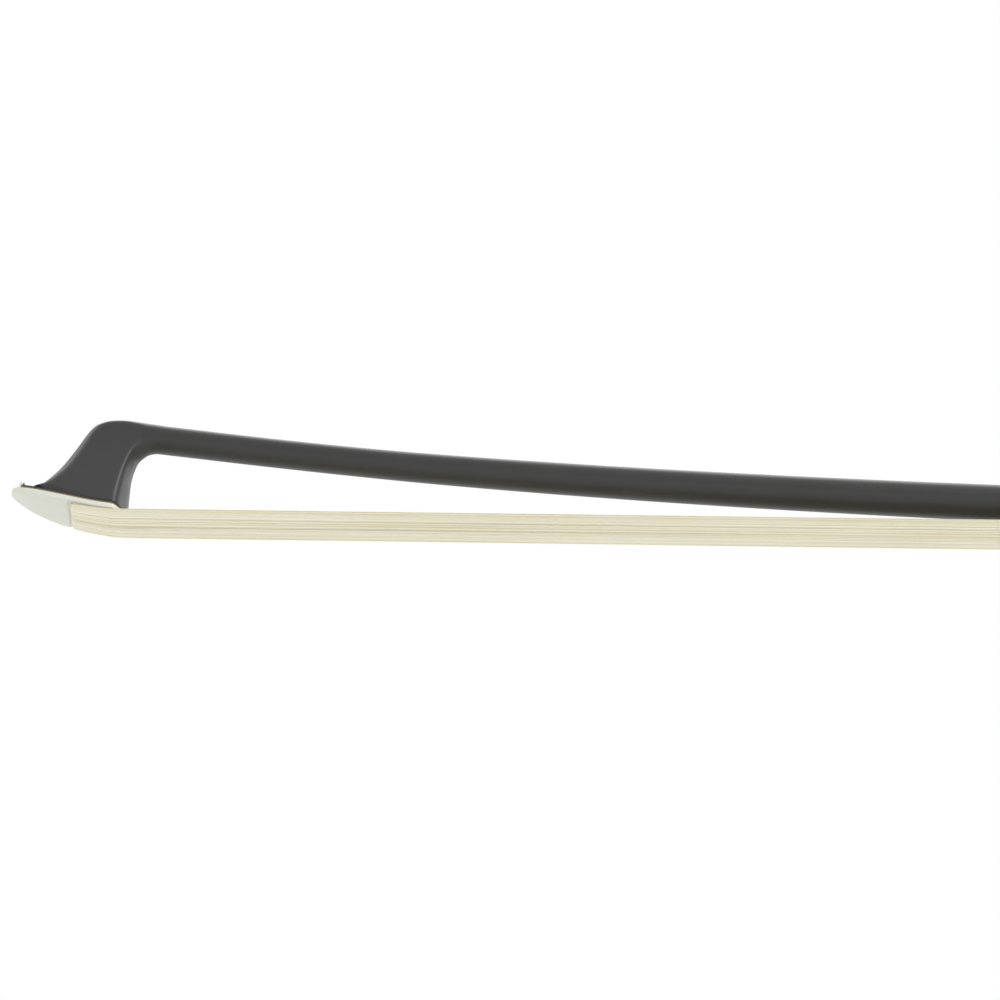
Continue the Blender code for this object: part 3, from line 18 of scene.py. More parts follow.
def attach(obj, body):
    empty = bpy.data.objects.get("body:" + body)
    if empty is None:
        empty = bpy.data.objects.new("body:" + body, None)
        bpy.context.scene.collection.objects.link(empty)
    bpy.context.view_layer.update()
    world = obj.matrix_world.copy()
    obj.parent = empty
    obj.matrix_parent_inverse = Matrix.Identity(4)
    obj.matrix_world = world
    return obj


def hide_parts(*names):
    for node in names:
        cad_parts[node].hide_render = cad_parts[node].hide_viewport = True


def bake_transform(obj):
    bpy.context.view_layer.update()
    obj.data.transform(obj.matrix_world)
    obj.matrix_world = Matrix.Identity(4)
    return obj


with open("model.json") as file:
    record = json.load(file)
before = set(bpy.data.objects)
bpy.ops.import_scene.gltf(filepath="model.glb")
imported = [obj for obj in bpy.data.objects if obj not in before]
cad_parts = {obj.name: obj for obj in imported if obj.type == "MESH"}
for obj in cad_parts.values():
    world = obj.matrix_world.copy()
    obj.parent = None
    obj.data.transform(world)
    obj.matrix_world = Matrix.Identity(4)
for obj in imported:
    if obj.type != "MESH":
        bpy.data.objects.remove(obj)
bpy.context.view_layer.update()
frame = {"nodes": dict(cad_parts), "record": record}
print("nodes", len(frame["nodes"]))

# %% [markdown]
# Two frames are used, the same ones as on a maker's drawing. The bow frame runs from the beak of the
# head along the hair, with zero height on the hair's underside. The handle frame sits on the stick's
# axis above the ferrule's mouth, because the handle is tilted a little to the hair. The screw's own
# joint says where that axis is.

# %% The bow frame and the handle frame
MM = 0.001
BOW_LENGTH = 744.045 * MM
HAIR_LIFT = 0.698 * MM  # of the hair's underside above the lowest point

screw_joint = next(joint for joint in frame["record"]["behaviour"]["joints"] if joint["name"] == "screw_turn")
PIVOT = Vector(screw_joint["pos_m"])
ALONG = -Vector(screw_joint["axis"]).normalized()
UP = Vector((-ALONG.z, 0.0, ALONG.x))


def bow_point(x, y, z):
    return Vector((x - BOW_LENGTH / 2, y, z + HAIR_LIFT))


def handle_point(x, y, z):
    return PIVOT + ALONG * x + UP * z + Vector((0.0, y, 0.0))


print("handle tilt", round(math.degrees(math.asin(ALONG.z)), 2), "degrees")

# %% [markdown]
# The photograph was taken from below and in front, about 36 degrees under the horizon, with a long
# lens and the bow turned by less than a degree. The camera could be turned by hand until the picture
# fits, but here its three directions are worked out from those angles, so that each can be changed on
# its own. It comes first, so that each piece can be looked at as soon as it is made.

# %% The camera
PIXELS_PER_METRE = 5200.0
CAMERA_DISTANCE = 0.785
VIEW_FROM_BELOW = math.radians(36.0)
CAMERA_ROLL = math.radians(0.75)
SENSOR = 36.0
PICTURE_WIDTH = 1000.0
MIDDLE_OF_PICTURE = 93.9  # millimetres from the beak
AIM_HEIGHT = 7.0
NEAREST = 0.01

look = Vector((0.0, math.cos(VIEW_FROM_BELOW), math.sin(VIEW_FROM_BELOW)))
level = Vector((1.0, 0.0, 0.0))
upright = level.cross(look)
right = level * math.cos(CAMERA_ROLL) + upright * math.sin(CAMERA_ROLL)
top = upright * math.cos(CAMERA_ROLL) - level * math.sin(CAMERA_ROLL)
aim = bow_point(MIDDLE_OF_PICTURE * MM, 0.0, AIM_HEIGHT * MM)

lens = bpy.data.cameras.new("photograph_camera")
lens.sensor_width = SENSOR
lens.lens = SENSOR * PIXELS_PER_METRE * CAMERA_DISTANCE / PICTURE_WIDTH
lens.clip_start = NEAREST
camera = bpy.data.objects.new("photograph_camera", lens)
camera.matrix_world = Matrix.Translation(aim - look * CAMERA_DISTANCE) @ Matrix(
    (right, top, -look)
).transposed().to_4x4()
bpy.context.scene.collection.objects.link(camera)
bpy.context.scene.camera = camera
bpy.context.scene.view_settings.view_transform = "Standard"
print("focal length", round(lens.lens, 1), "mm")

# %% [markdown]
# The bow lies just above a pale floor. A grid of a single face is enough for it, as its tone comes
# from its finish. The camera of the photograph is under this floor, so its finish, further on, leaves
# it out for the rays that would see its underside.

# %% The floor
FLOOR_DROP = 0.4 * MM
FLOOR_SIZE = 12.0

drawn_floor = bmesh.new()
bmesh.ops.create_grid(drawn_floor, x_segments=1, y_segments=1, size=FLOOR_SIZE / 2)
bmesh.ops.translate(drawn_floor, verts=drawn_floor.verts, vec=(0.0, 0.0, -FLOOR_DROP))
floor_mesh = bpy.data.meshes.new("floor")
drawn_floor.to_mesh(floor_mesh)
drawn_floor.free()
floor = bpy.data.objects.new("floor", floor_mesh)
bpy.context.scene.collection.objects.link(floor)
print("floor", FLOOR_DROP / MM, "mm under the bow")

# %% [markdown]
# Round the bow is a white room. A curved white backdrop could be modelled, but a world of one even
# colour gives the same light and casts no shadow of its own. The camera, and what mirrors in metal,
# see pure white. The light that falls on the bow is a touch weaker, so that the pale plate keeps its
# tone.

# %% The white room
ROOM_LIGHT = 0.98
WHITE = (1.0, 1.0, 1.0, 1.0)

room = bpy.data.worlds.new("white_room")
bpy.context.scene.world = room
room.use_nodes = True
room_nodes = room.node_tree.nodes
room_links = room.node_tree.links
room_nodes.clear()
room_ray = room_nodes.new("ShaderNodeLightPath")
room_seen = room_nodes.new("ShaderNodeBackground")
room_seen.inputs["Color"].default_value = WHITE
room_seen.inputs["Strength"].default_value = 1.0
room_lit = room_nodes.new("ShaderNodeBackground")
room_lit.inputs["Color"].default_value = WHITE
room_lit.inputs["Strength"].default_value = ROOM_LIGHT
room_mix = room_nodes.new("ShaderNodeMixShader")
room_out = room_nodes.new("ShaderNodeOutputWorld")
room_factor = room_ray.outputs["Is Camera Ray"]
for kind in ("Is Glossy Ray", "Is Transmission Ray"):
    either_ray = room_nodes.new("ShaderNodeMath")
    either_ray.operation = "MAXIMUM"
    room_links.new(room_factor, either_ray.inputs[0])
    room_links.new(room_ray.outputs[kind], either_ray.inputs[1])
    room_factor = either_ray.outputs[0]
room_links.new(room_factor, room_mix.inputs["Fac"])
room_links.new(room_lit.outputs[0], room_mix.inputs[1])
room_links.new(room_seen.outputs[0], room_mix.inputs[2])
room_links.new(room_mix.outputs[0], room_out.inputs["Surface"])
print("room nodes", len(room_nodes))

# %% [markdown]
# Three soft boxes give the bow its form: a wide one above, a smaller one at the front right, whose
# light runs down the rear of the head, and one behind at the right. Bare bulbs would be brighter for
# their size but would draw hard shadows, so each lamp is a large square.


# %% The soft lamps
def soft_lamp(name, place, towards, size, power):
    """A square soft box at a place, turned towards a point."""
    glow = bpy.data.lights.new(name, "AREA")
    glow.shape = "SQUARE"
    glow.size = size
    glow.energy = power
    lamp = bpy.data.objects.new(name, glow)
    lamp.location = place
    lamp.rotation_euler = (Vector(towards) - Vector(place)).to_track_quat("-Z", "Y").to_euler()
    bpy.context.scene.collection.objects.link(lamp)
    print(name, power, "watts")


soft_lamp("window_above", (-0.3, 0.5, 2.0), (-0.2, 0.0, 0.0), 1.3, 9.0)
soft_lamp("window_at_the_right", (1.0, -1.15, 1.3), (-0.25, 0.0, 0.0), 0.6, 13.0)
soft_lamp("backdrop_at_the_right", (1.4, 1.0, 1.1), (-0.25, 0.0, 0.0), 1.0, 8.0)

# %% [markdown]
# Finishes are node trees. They could be wired box by box, but sums and products are easier to read.
# So a small class wraps an output socket and turns each Python operator into a Math node.


# %% Sockets that can be added and multiplied
class Wire:
    """An output socket of a finish's node tree, for use in arithmetic."""

    def __init__(self, finish, socket):
        self.finish = finish
        self.socket = socket

    def maths(self, operation, first, second):
        return self.finish.node("Math", {"operation": operation}, {0: first, 1: second})

    def __add__(self, other):
        return self.maths("ADD", self, other)

    def __radd__(self, other):
        return self.maths("ADD", other, self)

    def __mul__(self, other):
        return self.maths("MULTIPLY", self, other)

    def __rmul__(self, other):
        return self.maths("MULTIPLY", other, self)

    def larger(self, other):
        return self.maths("MAXIMUM", self, other)


print("sockets can be written as sums")

# %% [markdown]
# A second class holds a material while it is made. What is the same all over the surface is set at the
# start. A method for each kind of node would be a long list, so one method adds any node that is
# asked for, sets it up and fills its sockets.


# %% A material and its nodes
class Surface:
    """A material under way, with the values that are the same all over it."""

    def __init__(self, name, roughness=0.5, metallic=0.0, **constants):
        self.material = bpy.data.materials.new(name)
        self.material.use_nodes = True
        self.tree = self.material.node_tree
        self.shader = self.tree.nodes["Principled BSDF"]
        self.shader.inputs["Roughness"].default_value = roughness
        self.shader.inputs["Metallic"].default_value = metallic
        for label, value in constants.items():
            self.shader.inputs[label.replace("_", " ")].default_value = value

    def node(self, kind, settings=None, values=None, output=0):
        """Adds a node, sets it up, fills or links its sockets and gives one of its outputs."""
        made = self.tree.nodes.new(f"ShaderNode{kind}")
        for label, value in (settings or {}).items():
            if label == "stops":
                self.set_stops(made.color_ramp, value)
            else:
                setattr(made, label, value)
        for label, value in (values or {}).items():
            self.fill(made.inputs[label], value)
        return Wire(self, made.outputs[output])

    def set_stops(self, ramp, stops):
        while len(ramp.elements) < len(stops):
            ramp.elements.new(1.0)
        for element, (place, colour) in zip(ramp.elements, stops):
            element.position = place
            element.color = (*colour, 1.0)

    def fill(self, socket, value):
        if isinstance(value, Wire):
            self.tree.links.new(value.socket, socket)
        elif hasattr(value, "__len__") and len(value) == 3 and socket.type == "RGBA":
            socket.default_value = (*value, 1.0)
        else:
            socket.default_value = value

    def feed(self, label, value):
        """Links a value that changes over the surface to the shader."""
        self.fill(self.shader.inputs[label], value)

    def report(self):
        print(self.material.name, "has", len(self.tree.nodes), "nodes")


print("a surface can", [name for name in vars(Surface) if not name.startswith("_")])

# %% [markdown]
# Several finishes share the same patterns: a noise, a noise drawn out along the bow, a blend of two
# colours, a low relief. Short methods give these names, so that a finish can be read like a recipe.
# All of them use Object coordinates, which need no unwrapping and stay with a piece when it moves.


# %% The patterns that finishes share
BLEND_FACTOR, BLEND_FIRST, BLEND_SECOND, BLENDED = 0, 6, 7, 2  # a colour Mix node's sockets


class Finish(Surface):
    """A material under way, with names for its patterns."""

    def place(self):
        return self.node("TexCoord", output="Object")

    def attribute(self, name):
        return self.node("Attribute", {"attribute_name": name}, output="Fac")

    def stretched(self, scale):
        """Object coordinates, multiplied along each axis."""
        return self.node("Mapping", None, {"Vector": self.place(), "Scale": scale})

    def noise(self, vector, scale, detail=2.0, roughness=0.5, distortion=0.0):
        values = {
            "Vector": vector,
            "Scale": scale,
            "Detail": detail,
            "Roughness": roughness,
            "Distortion": distortion,
        }
        return self.node("TexNoise", None, values)

    def ramp(self, factor, stops):
        return self.node("ValToRGB", {"stops": stops}, {"Fac": factor})

    def between(self, factor, low, high):
        """A number that goes from low to high as a factor goes from 0 to 1."""
        return factor * (high - low) + low

    def blended(self, factor, first, second):
        """A colour that goes from the first to the second as a factor goes from 0 to 1."""
        values = {BLEND_FACTOR: factor, BLEND_FIRST: first, BLEND_SECOND: second}
        return self.node("Mix", {"data_type": "RGBA"}, values, BLENDED)

    def relief(self, height, depth, strength):
        """A bump of that depth in metres."""
        return self.node("Bump", None, {"Height": height, "Distance": depth, "Strength": strength})


print("a finish also has", [name for name in vars(Finish) if not name.startswith("_")])

# %% [markdown]
# The floor's finish is pale and matte. It is see-through for the camera's rays that meet its
# underside, for the rays that look for a lamp and for those that gather soft light, so light comes
# from below too, as on a light table. A hole in the floor would do that as well, but would show from
# above. Seen from there, the floor is whole and catches the bow's shadow.

# %% The floor's finish
floor_finish = Finish("pale_floor", roughness=0.9)
floor_clouds = floor_finish.noise(floor_finish.place(), 3.0)
floor_finish.feed("Base Color", floor_finish.blended(floor_clouds, (0.90, 0.90, 0.89), (0.93, 0.93, 0.92)))
under = floor_finish.node("NewGeometry", output="Backfacing")
seen = floor_finish.node("LightPath", output="Is Camera Ray")
for_lamp = floor_finish.node("LightPath", output="Is Shadow Ray")
for_light = floor_finish.node("LightPath", output="Is Diffuse Ray")
floor_solid = Wire(floor_finish, floor_finish.shader.outputs[0])
floor_clear = floor_finish.node("BsdfTransparent")
see_through = (under * seen).larger(for_lamp).larger(for_light)
floor_mix = floor_finish.node("MixShader", None, {0: see_through, 1: floor_solid, 2: floor_clear})
floor_finish.fill(floor_finish.tree.nodes["Material Output"].inputs["Surface"], floor_mix)
floor.data.materials.append(floor_finish.material)
floor_finish.report()

# %% [markdown]
# Moulded carbon is not quite black. Its matt gel coat is a warm dark grey with a faint cloudiness,
# and a trace of the fibres shows as very fine lines along the stick. A woven pattern would be wrong
# here, as no weave shows through the coat. Two noises are enough: a slow one for the clouds, and one
# stretched along the bow for the fibres. A third, very fine one is the coat's skin.

# %% Moulded carbon
carbon = Finish("matt_moulded_carbon", roughness=0.4, Specular_IOR_Level=0.5)
clouds = carbon.noise(carbon.place(), 90.0, 3.0)
fibres = carbon.noise(carbon.stretched((60.0, 1600.0, 1600.0)), 1.0, 2.0)
carbon_tone = clouds * 0.6 + fibres * 0.4
carbon.feed("Base Color", carbon.blended(carbon_tone, (0.013, 0.0128, 0.0125), (0.025, 0.0246, 0.0242)))
carbon.feed("Roughness", carbon.between(clouds, 0.33, 0.46))
orange_peel = carbon.noise(carbon.place(), 1500.0, 2.0)
carbon.feed("Normal", carbon.relief(orange_peel + fibres * 0.5, 0.006 * MM, 0.6))
carbon.report()

# %% [markdown]
# The plate is a hard ivory-white plastic, a little greenish, polished but with fine marks from
# its file and cloth. Light goes a little way into it, which a small subsurface share gives. The marks
# could be scratches in the mesh, but they are far finer than its faces, so a noise drawn out along
# the plate changes the roughness and adds a very low bump.

# %% Ivory-white plastic
ivory = Finish("ivory_white_plastic", roughness=0.3, Subsurface_Weight=0.08, Subsurface_Scale=0.4 * MM)
bloom = ivory.noise(ivory.place(), 260.0, 3.0)
marks = ivory.noise(ivory.stretched((500.0, 3500.0, 3500.0)), 1.0, 2.0)
ivory.feed("Base Color", ivory.blended(bloom, (0.64, 0.65, 0.565), (0.70, 0.71, 0.63)))
ivory.feed("Roughness", ivory.between(marks, 0.24, 0.42))
ivory.feed("Normal", ivory.relief(marks, 0.004 * MM, 0.5))
ivory.report()

# %% [markdown]
# Between the plate and the head lies a thin lining of pressed fibre. It is nearly black, with a line
# of golden glue along the edge that touches the plate. The glue could be a piece of its own, but it is
# thinner than a hair, so an attribute of the lining says where it is. The fibre is laid in sheets, so
# its noise is squeezed across them.

# %% Black fibre
fibre = Finish("black_pressed_fibre", roughness=0.7)
pressed = fibre.noise(fibre.stretched((900.0, 900.0, 5200.0)), 1.0, 3.0)
glued = fibre.ramp(fibre.attribute("glue_line"), ((0.72, (0.0, 0.0, 0.0)), (0.88, (1.0, 1.0, 1.0))))
dark_fibre = fibre.blended(pressed, (0.020, 0.017, 0.018), (0.040, 0.033, 0.032))
fibre.feed("Base Color", fibre.blended(glued, dark_fibre, (0.36, 0.26, 0.10)))
fibre.feed("Normal", fibre.relief(pressed, 0.01 * MM, 0.6))
fibre.report()

# %% [markdown]
# The plugs and the wedge are maple, with growth lines close together along the grain. Bands of a
# wave texture draw such lines, and a little distortion and a slow noise keep them from being even.

# %% Maple
maple = Finish("pale_maple", roughness=0.6)
maple_warp = maple.noise(maple.place(), 220.0, 2.0)
maple_rings = maple.node(
    "TexWave",
    {"wave_type": "BANDS", "bands_direction": "Y"},
    {"Vector": maple.place(), "Scale": 420.0, "Distortion": 2.5, "Detail": 2.0, "Detail Scale": 1.5},
)
maple_tone = maple_rings * 0.6 + maple_warp * 0.4
maple.feed("Base Color", maple.blended(maple_tone, (0.66, 0.49, 0.30), (0.52, 0.36, 0.20)))
maple.feed("Roughness", maple.between(maple_rings, 0.5, 0.7))
maple.feed("Normal", maple.relief(maple_rings, 0.02 * MM, 0.4))
maple.report()

# %% [markdown]
# Horsehair is not one colour: each hair has its own tone, from nearly white to straw, and each one
# changes a little along its length. A stripe pattern in space would slide over the hairs when the
# frog moves. So the strands carry their tone as an attribute, which stays with them, and noises drawn
# out along the bow only add what is finer.

# %% Horsehair
horsehair = Finish("bleached_horsehair", roughness=0.42, Specular_IOR_Level=0.35)
tone = horsehair.attribute("strand_tone")
drawn_out = horsehair.noise(horsehair.stretched((30.0, 3800.0, 3800.0)), 1.0, 3.0)
patches = horsehair.noise(horsehair.stretched((28.0, 420.0, 420.0)), 1.0, 2.0)
hair_mix = tone * 0.5 + drawn_out * 0.25 + patches * 0.3
straw_to_white = (
    (0.12, (0.71, 0.65, 0.44)),
    (0.38, (0.87, 0.825, 0.63)),
    (0.62, (0.93, 0.895, 0.745)),
    (0.92, (0.96, 0.94, 0.85)),
)
horsehair.feed("Base Color", horsehair.ramp(hair_mix, straw_to_white))
horsehair.feed("Roughness", horsehair.between(drawn_out, 0.34, 0.52))
horsehair.feed("Normal", horsehair.relief(drawn_out, 0.012 * MM, 0.5))
horsehair.report()

# %% [markdown]
# The hank's ends are bound with waxed red thread, turn on turn. They could be wound like the grip's
# wire, but both knots are hidden in their mortises, so a wave along the knot's height gives the
# ridges. The colour follows the same wave: a darker red in the grooves between the turns is painted
# shade, and a lighter red on their crests.

# %% Binding thread
thread = Finish("waxed_binding_thread", roughness=0.6)
turns = thread.node(
    "TexWave", {"wave_type": "BANDS", "bands_direction": "Z"}, {"Vector": thread.place(), "Scale": 1050.0}
)
# painted shade: darker red in the grooves between the turns, lighter red on their crests
thread.feed("Base Color", thread.blended(turns, (0.20, 0.03, 0.02), (0.52, 0.11, 0.07)))
thread.feed("Roughness", thread.between(turns, 0.75, 0.5))
thread.feed("Normal", thread.relief(turns, 0.06 * MM, 0.8))
thread.report()

# %% [markdown]
# Ebony is black with dark brown streaks and open pores that run along the frog. It is oiled and
# polished, so the pores break up a soft shine. Both run with the grain, so both are noises drawn out
# along the bow: a wide one for the streaks, and a fine one, cut off hard by a ramp, for the pores.

# %% Ebony
ebony = Finish("oiled_ebony", roughness=0.32, Specular_IOR_Level=0.4)
grain = ebony.noise(ebony.stretched((70.0, 1300.0, 1300.0)), 1.0, 4.0, 0.6)
fine_grain = ebony.noise(ebony.stretched((260.0, 4200.0, 4200.0)), 1.0, 2.0)
pores = ebony.ramp(fine_grain, ((0.34, (0.0, 0.0, 0.0)), (0.44, (1.0, 1.0, 1.0))))
black_to_brown = ((0.35, (0.008, 0.007, 0.006)), (0.60, (0.016, 0.013, 0.011)), (0.80, (0.034, 0.023, 0.017)))
streaks = ebony.ramp(grain, black_to_brown)
ebony.feed("Base Color", ebony.blended(pores, (0.006, 0.005, 0.004), streaks))
ebony.feed("Roughness", ebony.between(pores, 0.55, 0.28))
ebony.feed("Normal", ebony.relief(pores, 0.015 * MM, 0.5))
ebony.report()

# %% [markdown]
# Mother of pearl is built of thin layers, which break light into faint pink, green and blue. On the
# real one the tints change as it turns. Here they stay in place, so that they can be baked: a
# distorted noise follows the wavy layers and picks the tint, and a clear coat gives the depth.

# %% Mother of pearl
pearl = Finish("mother_of_pearl", roughness=0.18, Coat_Weight=0.6, Coat_Roughness=0.06)
layers = pearl.noise(pearl.stretched((260.0, 700.0, 700.0)), 1.0, 3.0, 0.55, 1.6)
pearl_tints = (
    (0.25, (0.62, 0.70, 0.66)),
    (0.42, (0.80, 0.84, 0.82)),
    (0.55, (0.84, 0.78, 0.80)),
    (0.68, (0.68, 0.76, 0.82)),
    (0.82, (0.88, 0.88, 0.84)),
)
pearl.feed("Base Color", pearl.ramp(layers, pearl_tints))
pearl.feed("Roughness", pearl.between(layers, 0.12, 0.26))
pearl.feed("Normal", pearl.relief(layers, 0.02 * MM, 0.35))
pearl.report()

# %% [markdown]
# The metals differ in colour and in how they were worked. They could be four materials written one
# by one, but all of them have the same three things, so one function makes them: a bright colour, a
# tarnish that comes and goes slowly, and fine marks along the way the file or the lathe went.


# %% Nickel silver, brass, steel and silver wire
def metal_finish(name, bright, tarnished, smooth, rough, marks_scale):
    metal = Finish(name, roughness=smooth, metallic=1.0)
    tarnish = metal.noise(metal.place(), 240.0, 4.0, 0.6)
    scratches = metal.noise(metal.stretched(marks_scale), 1.0, 2.0)
    metal.feed("Base Color", metal.blended(tarnish, bright, tarnished))
    metal.feed("Roughness", metal.between(tarnish * 0.5 + scratches * 0.5, smooth, rough))
    metal.feed("Normal", metal.relief(scratches, 0.003 * MM, 0.5))
    metal.report()
    return metal


LENGTHWISE = (260.0, 6000.0, 6000.0)
ROUND_THE_AXIS = (6000.0, 320.0, 320.0)
nickel = metal_finish("nickel_silver", (0.76, 0.74, 0.69), (0.58, 0.55, 0.49), 0.20, 0.38, LENGTHWISE)
brass = metal_finish("turned_brass", (0.80, 0.62, 0.30), (0.58, 0.42, 0.18), 0.22, 0.42, ROUND_THE_AXIS)
steel = metal_finish("turned_steel", (0.60, 0.60, 0.61), (0.42, 0.41, 0.40), 0.22, 0.40, ROUND_THE_AXIS)
silver = metal_finish("drawn_silver_wire", (0.86, 0.85, 0.82), (0.62, 0.60, 0.56), 0.18, 0.36, ROUND_THE_AXIS)

# %% [markdown]
# The thumb leather is thin black goatskin: small pebbles with creases between them, and a shine that
# sits on the pebbles only. Noise alone would look like stone. A cell pattern that measures the way to
# the nearest crease gives the pebbles, and noise only wears them unevenly. In the colour the creases
# are darker than the pebbles, which is painted shade.

# %% Leather
leather = Finish("black_goatskin", roughness=0.55, Specular_IOR_Level=0.45)
pebble_cells = {"Vector": leather.place(), "Scale": 1700.0}
pebbles = leather.node("TexVoronoi", {"feature": "DISTANCE_TO_EDGE"}, pebble_cells)
pebble_tops = leather.ramp(pebbles, ((0.02, (0.0, 0.0, 0.0)), (0.22, (1.0, 1.0, 1.0))))
wear = leather.noise(leather.place(), 300.0, 3.0)
# painted shade: the colour is darker in the creases, and the noise adds real wear
crease_shade_and_wear = pebble_tops * 0.6 + wear * 0.4
leather.feed("Base Color", leather.blended(crease_shade_and_wear, (0.012, 0.010, 0.009), (0.050, 0.042, 0.036)))
leather.feed("Roughness", leather.between(pebble_tops, 0.75, 0.48))
leather.feed("Normal", leather.relief(pebble_tops, 0.05 * MM, 0.7))
leather.report()

# %% [markdown]
# A long piece such as the stick is made the way it is drawn: one outline after another along its
# length. A curve with a bevel would be quicker, but its section couldn't change from round to
# eight-sided. So the first outline is a circle of vertices, and each further one is extruded from the
# last and moved to its place. The ends are then filled, or joined to each other in a sleeve.


# %% Outlines extruded along a piece
def outline_edges(line):
    """The edges that join the vertices of one or more closed outlines."""
    among = set(line)
    found = {}
    for vert in line:
        for edge in vert.link_edges:
            if edge.other_vert(vert) in among:
                found[edge] = True
    return list(found)


def next_outline(shape, line, points):
    """Extrudes outlines once and moves the new vertices to their points."""
    grown = bmesh.ops.extrude_edge_only(shape, edges=outline_edges(line))
    fresh = {item for item in grown["geom"] if isinstance(item, bmesh.types.BMVert)}
    following = []
    for vert, point in zip(line, points):
        beyond = next(edge.other_vert(vert) for edge in vert.link_edges if edge.other_vert(vert) in fresh)
        beyond.co = point
        following.append(beyond)
    return following


def first_outline(shape, points):
    """A circle of vertices, moved to the points of a piece's first outline."""
    line = bmesh.ops.create_circle(shape, segments=len(points), radius=1.0 * MM)["verts"]
    for vert, point in zip(line, points):
        vert.co = point
    return line


def extruded_outlines(outlines):
    """A shape through all of a piece's outlines, with the first and last lines of vertices."""
    shape = bmesh.new()
    first = last = first_outline(shape, outlines[0])
    for points in outlines[1:]:
        last = next_outline(shape, last, points)
    return shape, first, last


def closed_outlines(outlines):
    """A solid through all of a piece's outlines, with both ends filled."""
    shape, first, last = extruded_outlines(outlines)
    bmesh.ops.contextual_create(shape, geom=outline_edges(first))
    bmesh.ops.contextual_create(shape, geom=outline_edges(last))
    return shape


def sleeve(outlines):
    """A sleeve whose last outline is joined to its first."""
    shape, first, last = extruded_outlines(outlines)
    bmesh.ops.bridge_loops(shape, edges=outline_edges(first) + outline_edges(last))
    return shape


print("outlines can become solids and sleeves")

# %% [markdown]
# Every piece is finished in the same way: its faces are turned outwards, it becomes an object at the
# origin, it is smooth except at sharp edges, it gets its finish, it is told which body it moves with,
# and the CAD nodes that it stands for are hidden. One function does all of that, so that none is
# forgotten.


# %% From a shape to a finished piece
SMOOTH_BELOW = math.radians(38)


def finished_piece(name, shape, body, finish, stands_for=(), smooth_below=SMOOTH_BELOW):
    """Makes an object of a shape, gives it its finish and lets it ride on a body, if there is one."""
    bmesh.ops.recalc_face_normals(shape, faces=shape.faces)
    mesh = bpy.data.meshes.new(name)
    shape.to_mesh(mesh)
    shape.free()
    mesh.shade_smooth()
    mesh.set_sharp_from_angle(angle=smooth_below)
    mesh.materials.append(finish.material)
    piece = bpy.data.objects.new(name, mesh)
    bpy.context.scene.collection.objects.link(piece)
    if body:
        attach(piece, body)
    if stands_for:
        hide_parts(*stands_for)
    print(name, len(mesh.polygons), "faces")
    return piece


print("smooth below", round(math.degrees(SMOOTH_BELOW)), "degrees")

# %% [markdown]
# A stick is not a straight line between its marks. A polynomial through all of them would swing
# between them, so each curve here is made of short pieces that pass smoothly through a few measured
# stations: the slope at a station is the one that its neighbours suggest.


# %% A smooth curve through stations
def smooth_curve(stations, at, first_slope=0.0, last_slope=0.0):
    """The value at a place, on a smooth curve through (place, value) stations."""
    slopes = [first_slope]
    for (a, u), (b, v), (c, w) in zip(stations, stations[1:], stations[2:]):
        slopes.append(((v - u) / (b - a) * (c - b) + (w - v) / (c - b) * (b - a)) / (c - a))
    slopes.append(last_slope)
    at = min(max(at, stations[0][0]), stations[-1][0])
    i = max(i for i, (place, value) in enumerate(stations[:-1]) if place <= at)
    (a, u), (b, v) = stations[i], stations[i + 1]
    span = b - a
    t = (at - a) / span
    return (
        u * (1 + 2 * t) * (1 - t) ** 2
        + v * t * t * (3 - 2 * t)
        + slopes[i] * span * t * (1 - t) ** 2
        - slopes[i + 1] * span * t * t * (1 - t)
    )


def steps_between(first, last, count):
    return [first + (last - first) * i / count for i in range(count + 1)]


print("half-way between 0 and 1", smooth_curve(((0, 0.0), (1, 1.0)), 0.5))

# %% [markdown]
# The stick's axis bends towards the hair and rises again to the head: the camber. Its thickness grows
# from the neck to the handle, where the round turns into an octagon. A bend modifier on a straight
# stick would give an arc, and the real camber isn't one, so the axis goes through the CAD model's own
# stations, in millimetres from the beak.

# %% The stick's camber and thickness
CAMBER = (
    (28.6, 20.2),
    (50, 17.47),
    (75, 14.72),
    (100, 12.62),
    (130, 10.62),
    (160, 9.02),
    (190, 7.77),
    (240, 6.25),
    (300, 5.5),
)
THICKNESS = ((28.6, 5.56), (62, 5.62), (104, 6.15), (171, 6.9), (300, 7.75), (450, 8.3), (600, 8.6))
NECK_STATION = 28.6
NECK_SLOPE = -0.126
NECK_HALF = 2.78
HANDLE_STATION = 600.0
FERRULE_STATION = 675.0
OCTAGON_STATIONS = (612.0, 626.0)
FLAT_HALF = 4.3  # from the axis to a flat of the octagon
SLOPE_STEP = 0.5  # to each side of a station, where its slope is measured

TILT_SLOPE = ALONG.z / ALONG.x
AXIS_AT_FERRULE = (PIVOT.z - HAIR_LIFT) / MM
AXIS_AT_HANDLE = AXIS_AT_FERRULE + (HANDLE_STATION - FERRULE_STATION) * TILT_SLOPE


def axis_height(station):
    if station >= HANDLE_STATION:
        return AXIS_AT_HANDLE + (station - HANDLE_STATION) * TILT_SLOPE
    return smooth_curve((*CAMBER, (HANDLE_STATION, AXIS_AT_HANDLE)), station, NECK_SLOPE, TILT_SLOPE)


def axis_direction(station):
    before = max(station - SLOPE_STEP, NECK_STATION)
    rise = axis_height(station + SLOPE_STEP) - axis_height(before)
    return Vector((station + SLOPE_STEP - before, 0.0, rise)).normalized()


def stick_reach(station, angle):
    """From the axis to the stick's surface, at an angle round it: round, then octagonal."""
    start, full = OCTAGON_STATIONS
    share = min(max((station - start) / (full - start), 0.0), 1.0)
    from_flat = (angle + math.pi / 8) % (math.pi / 4) - math.pi / 8
    return (1 - share) * smooth_curve(THICKNESS, station) / 2 + share * FLAT_HALF / math.cos(from_flat)


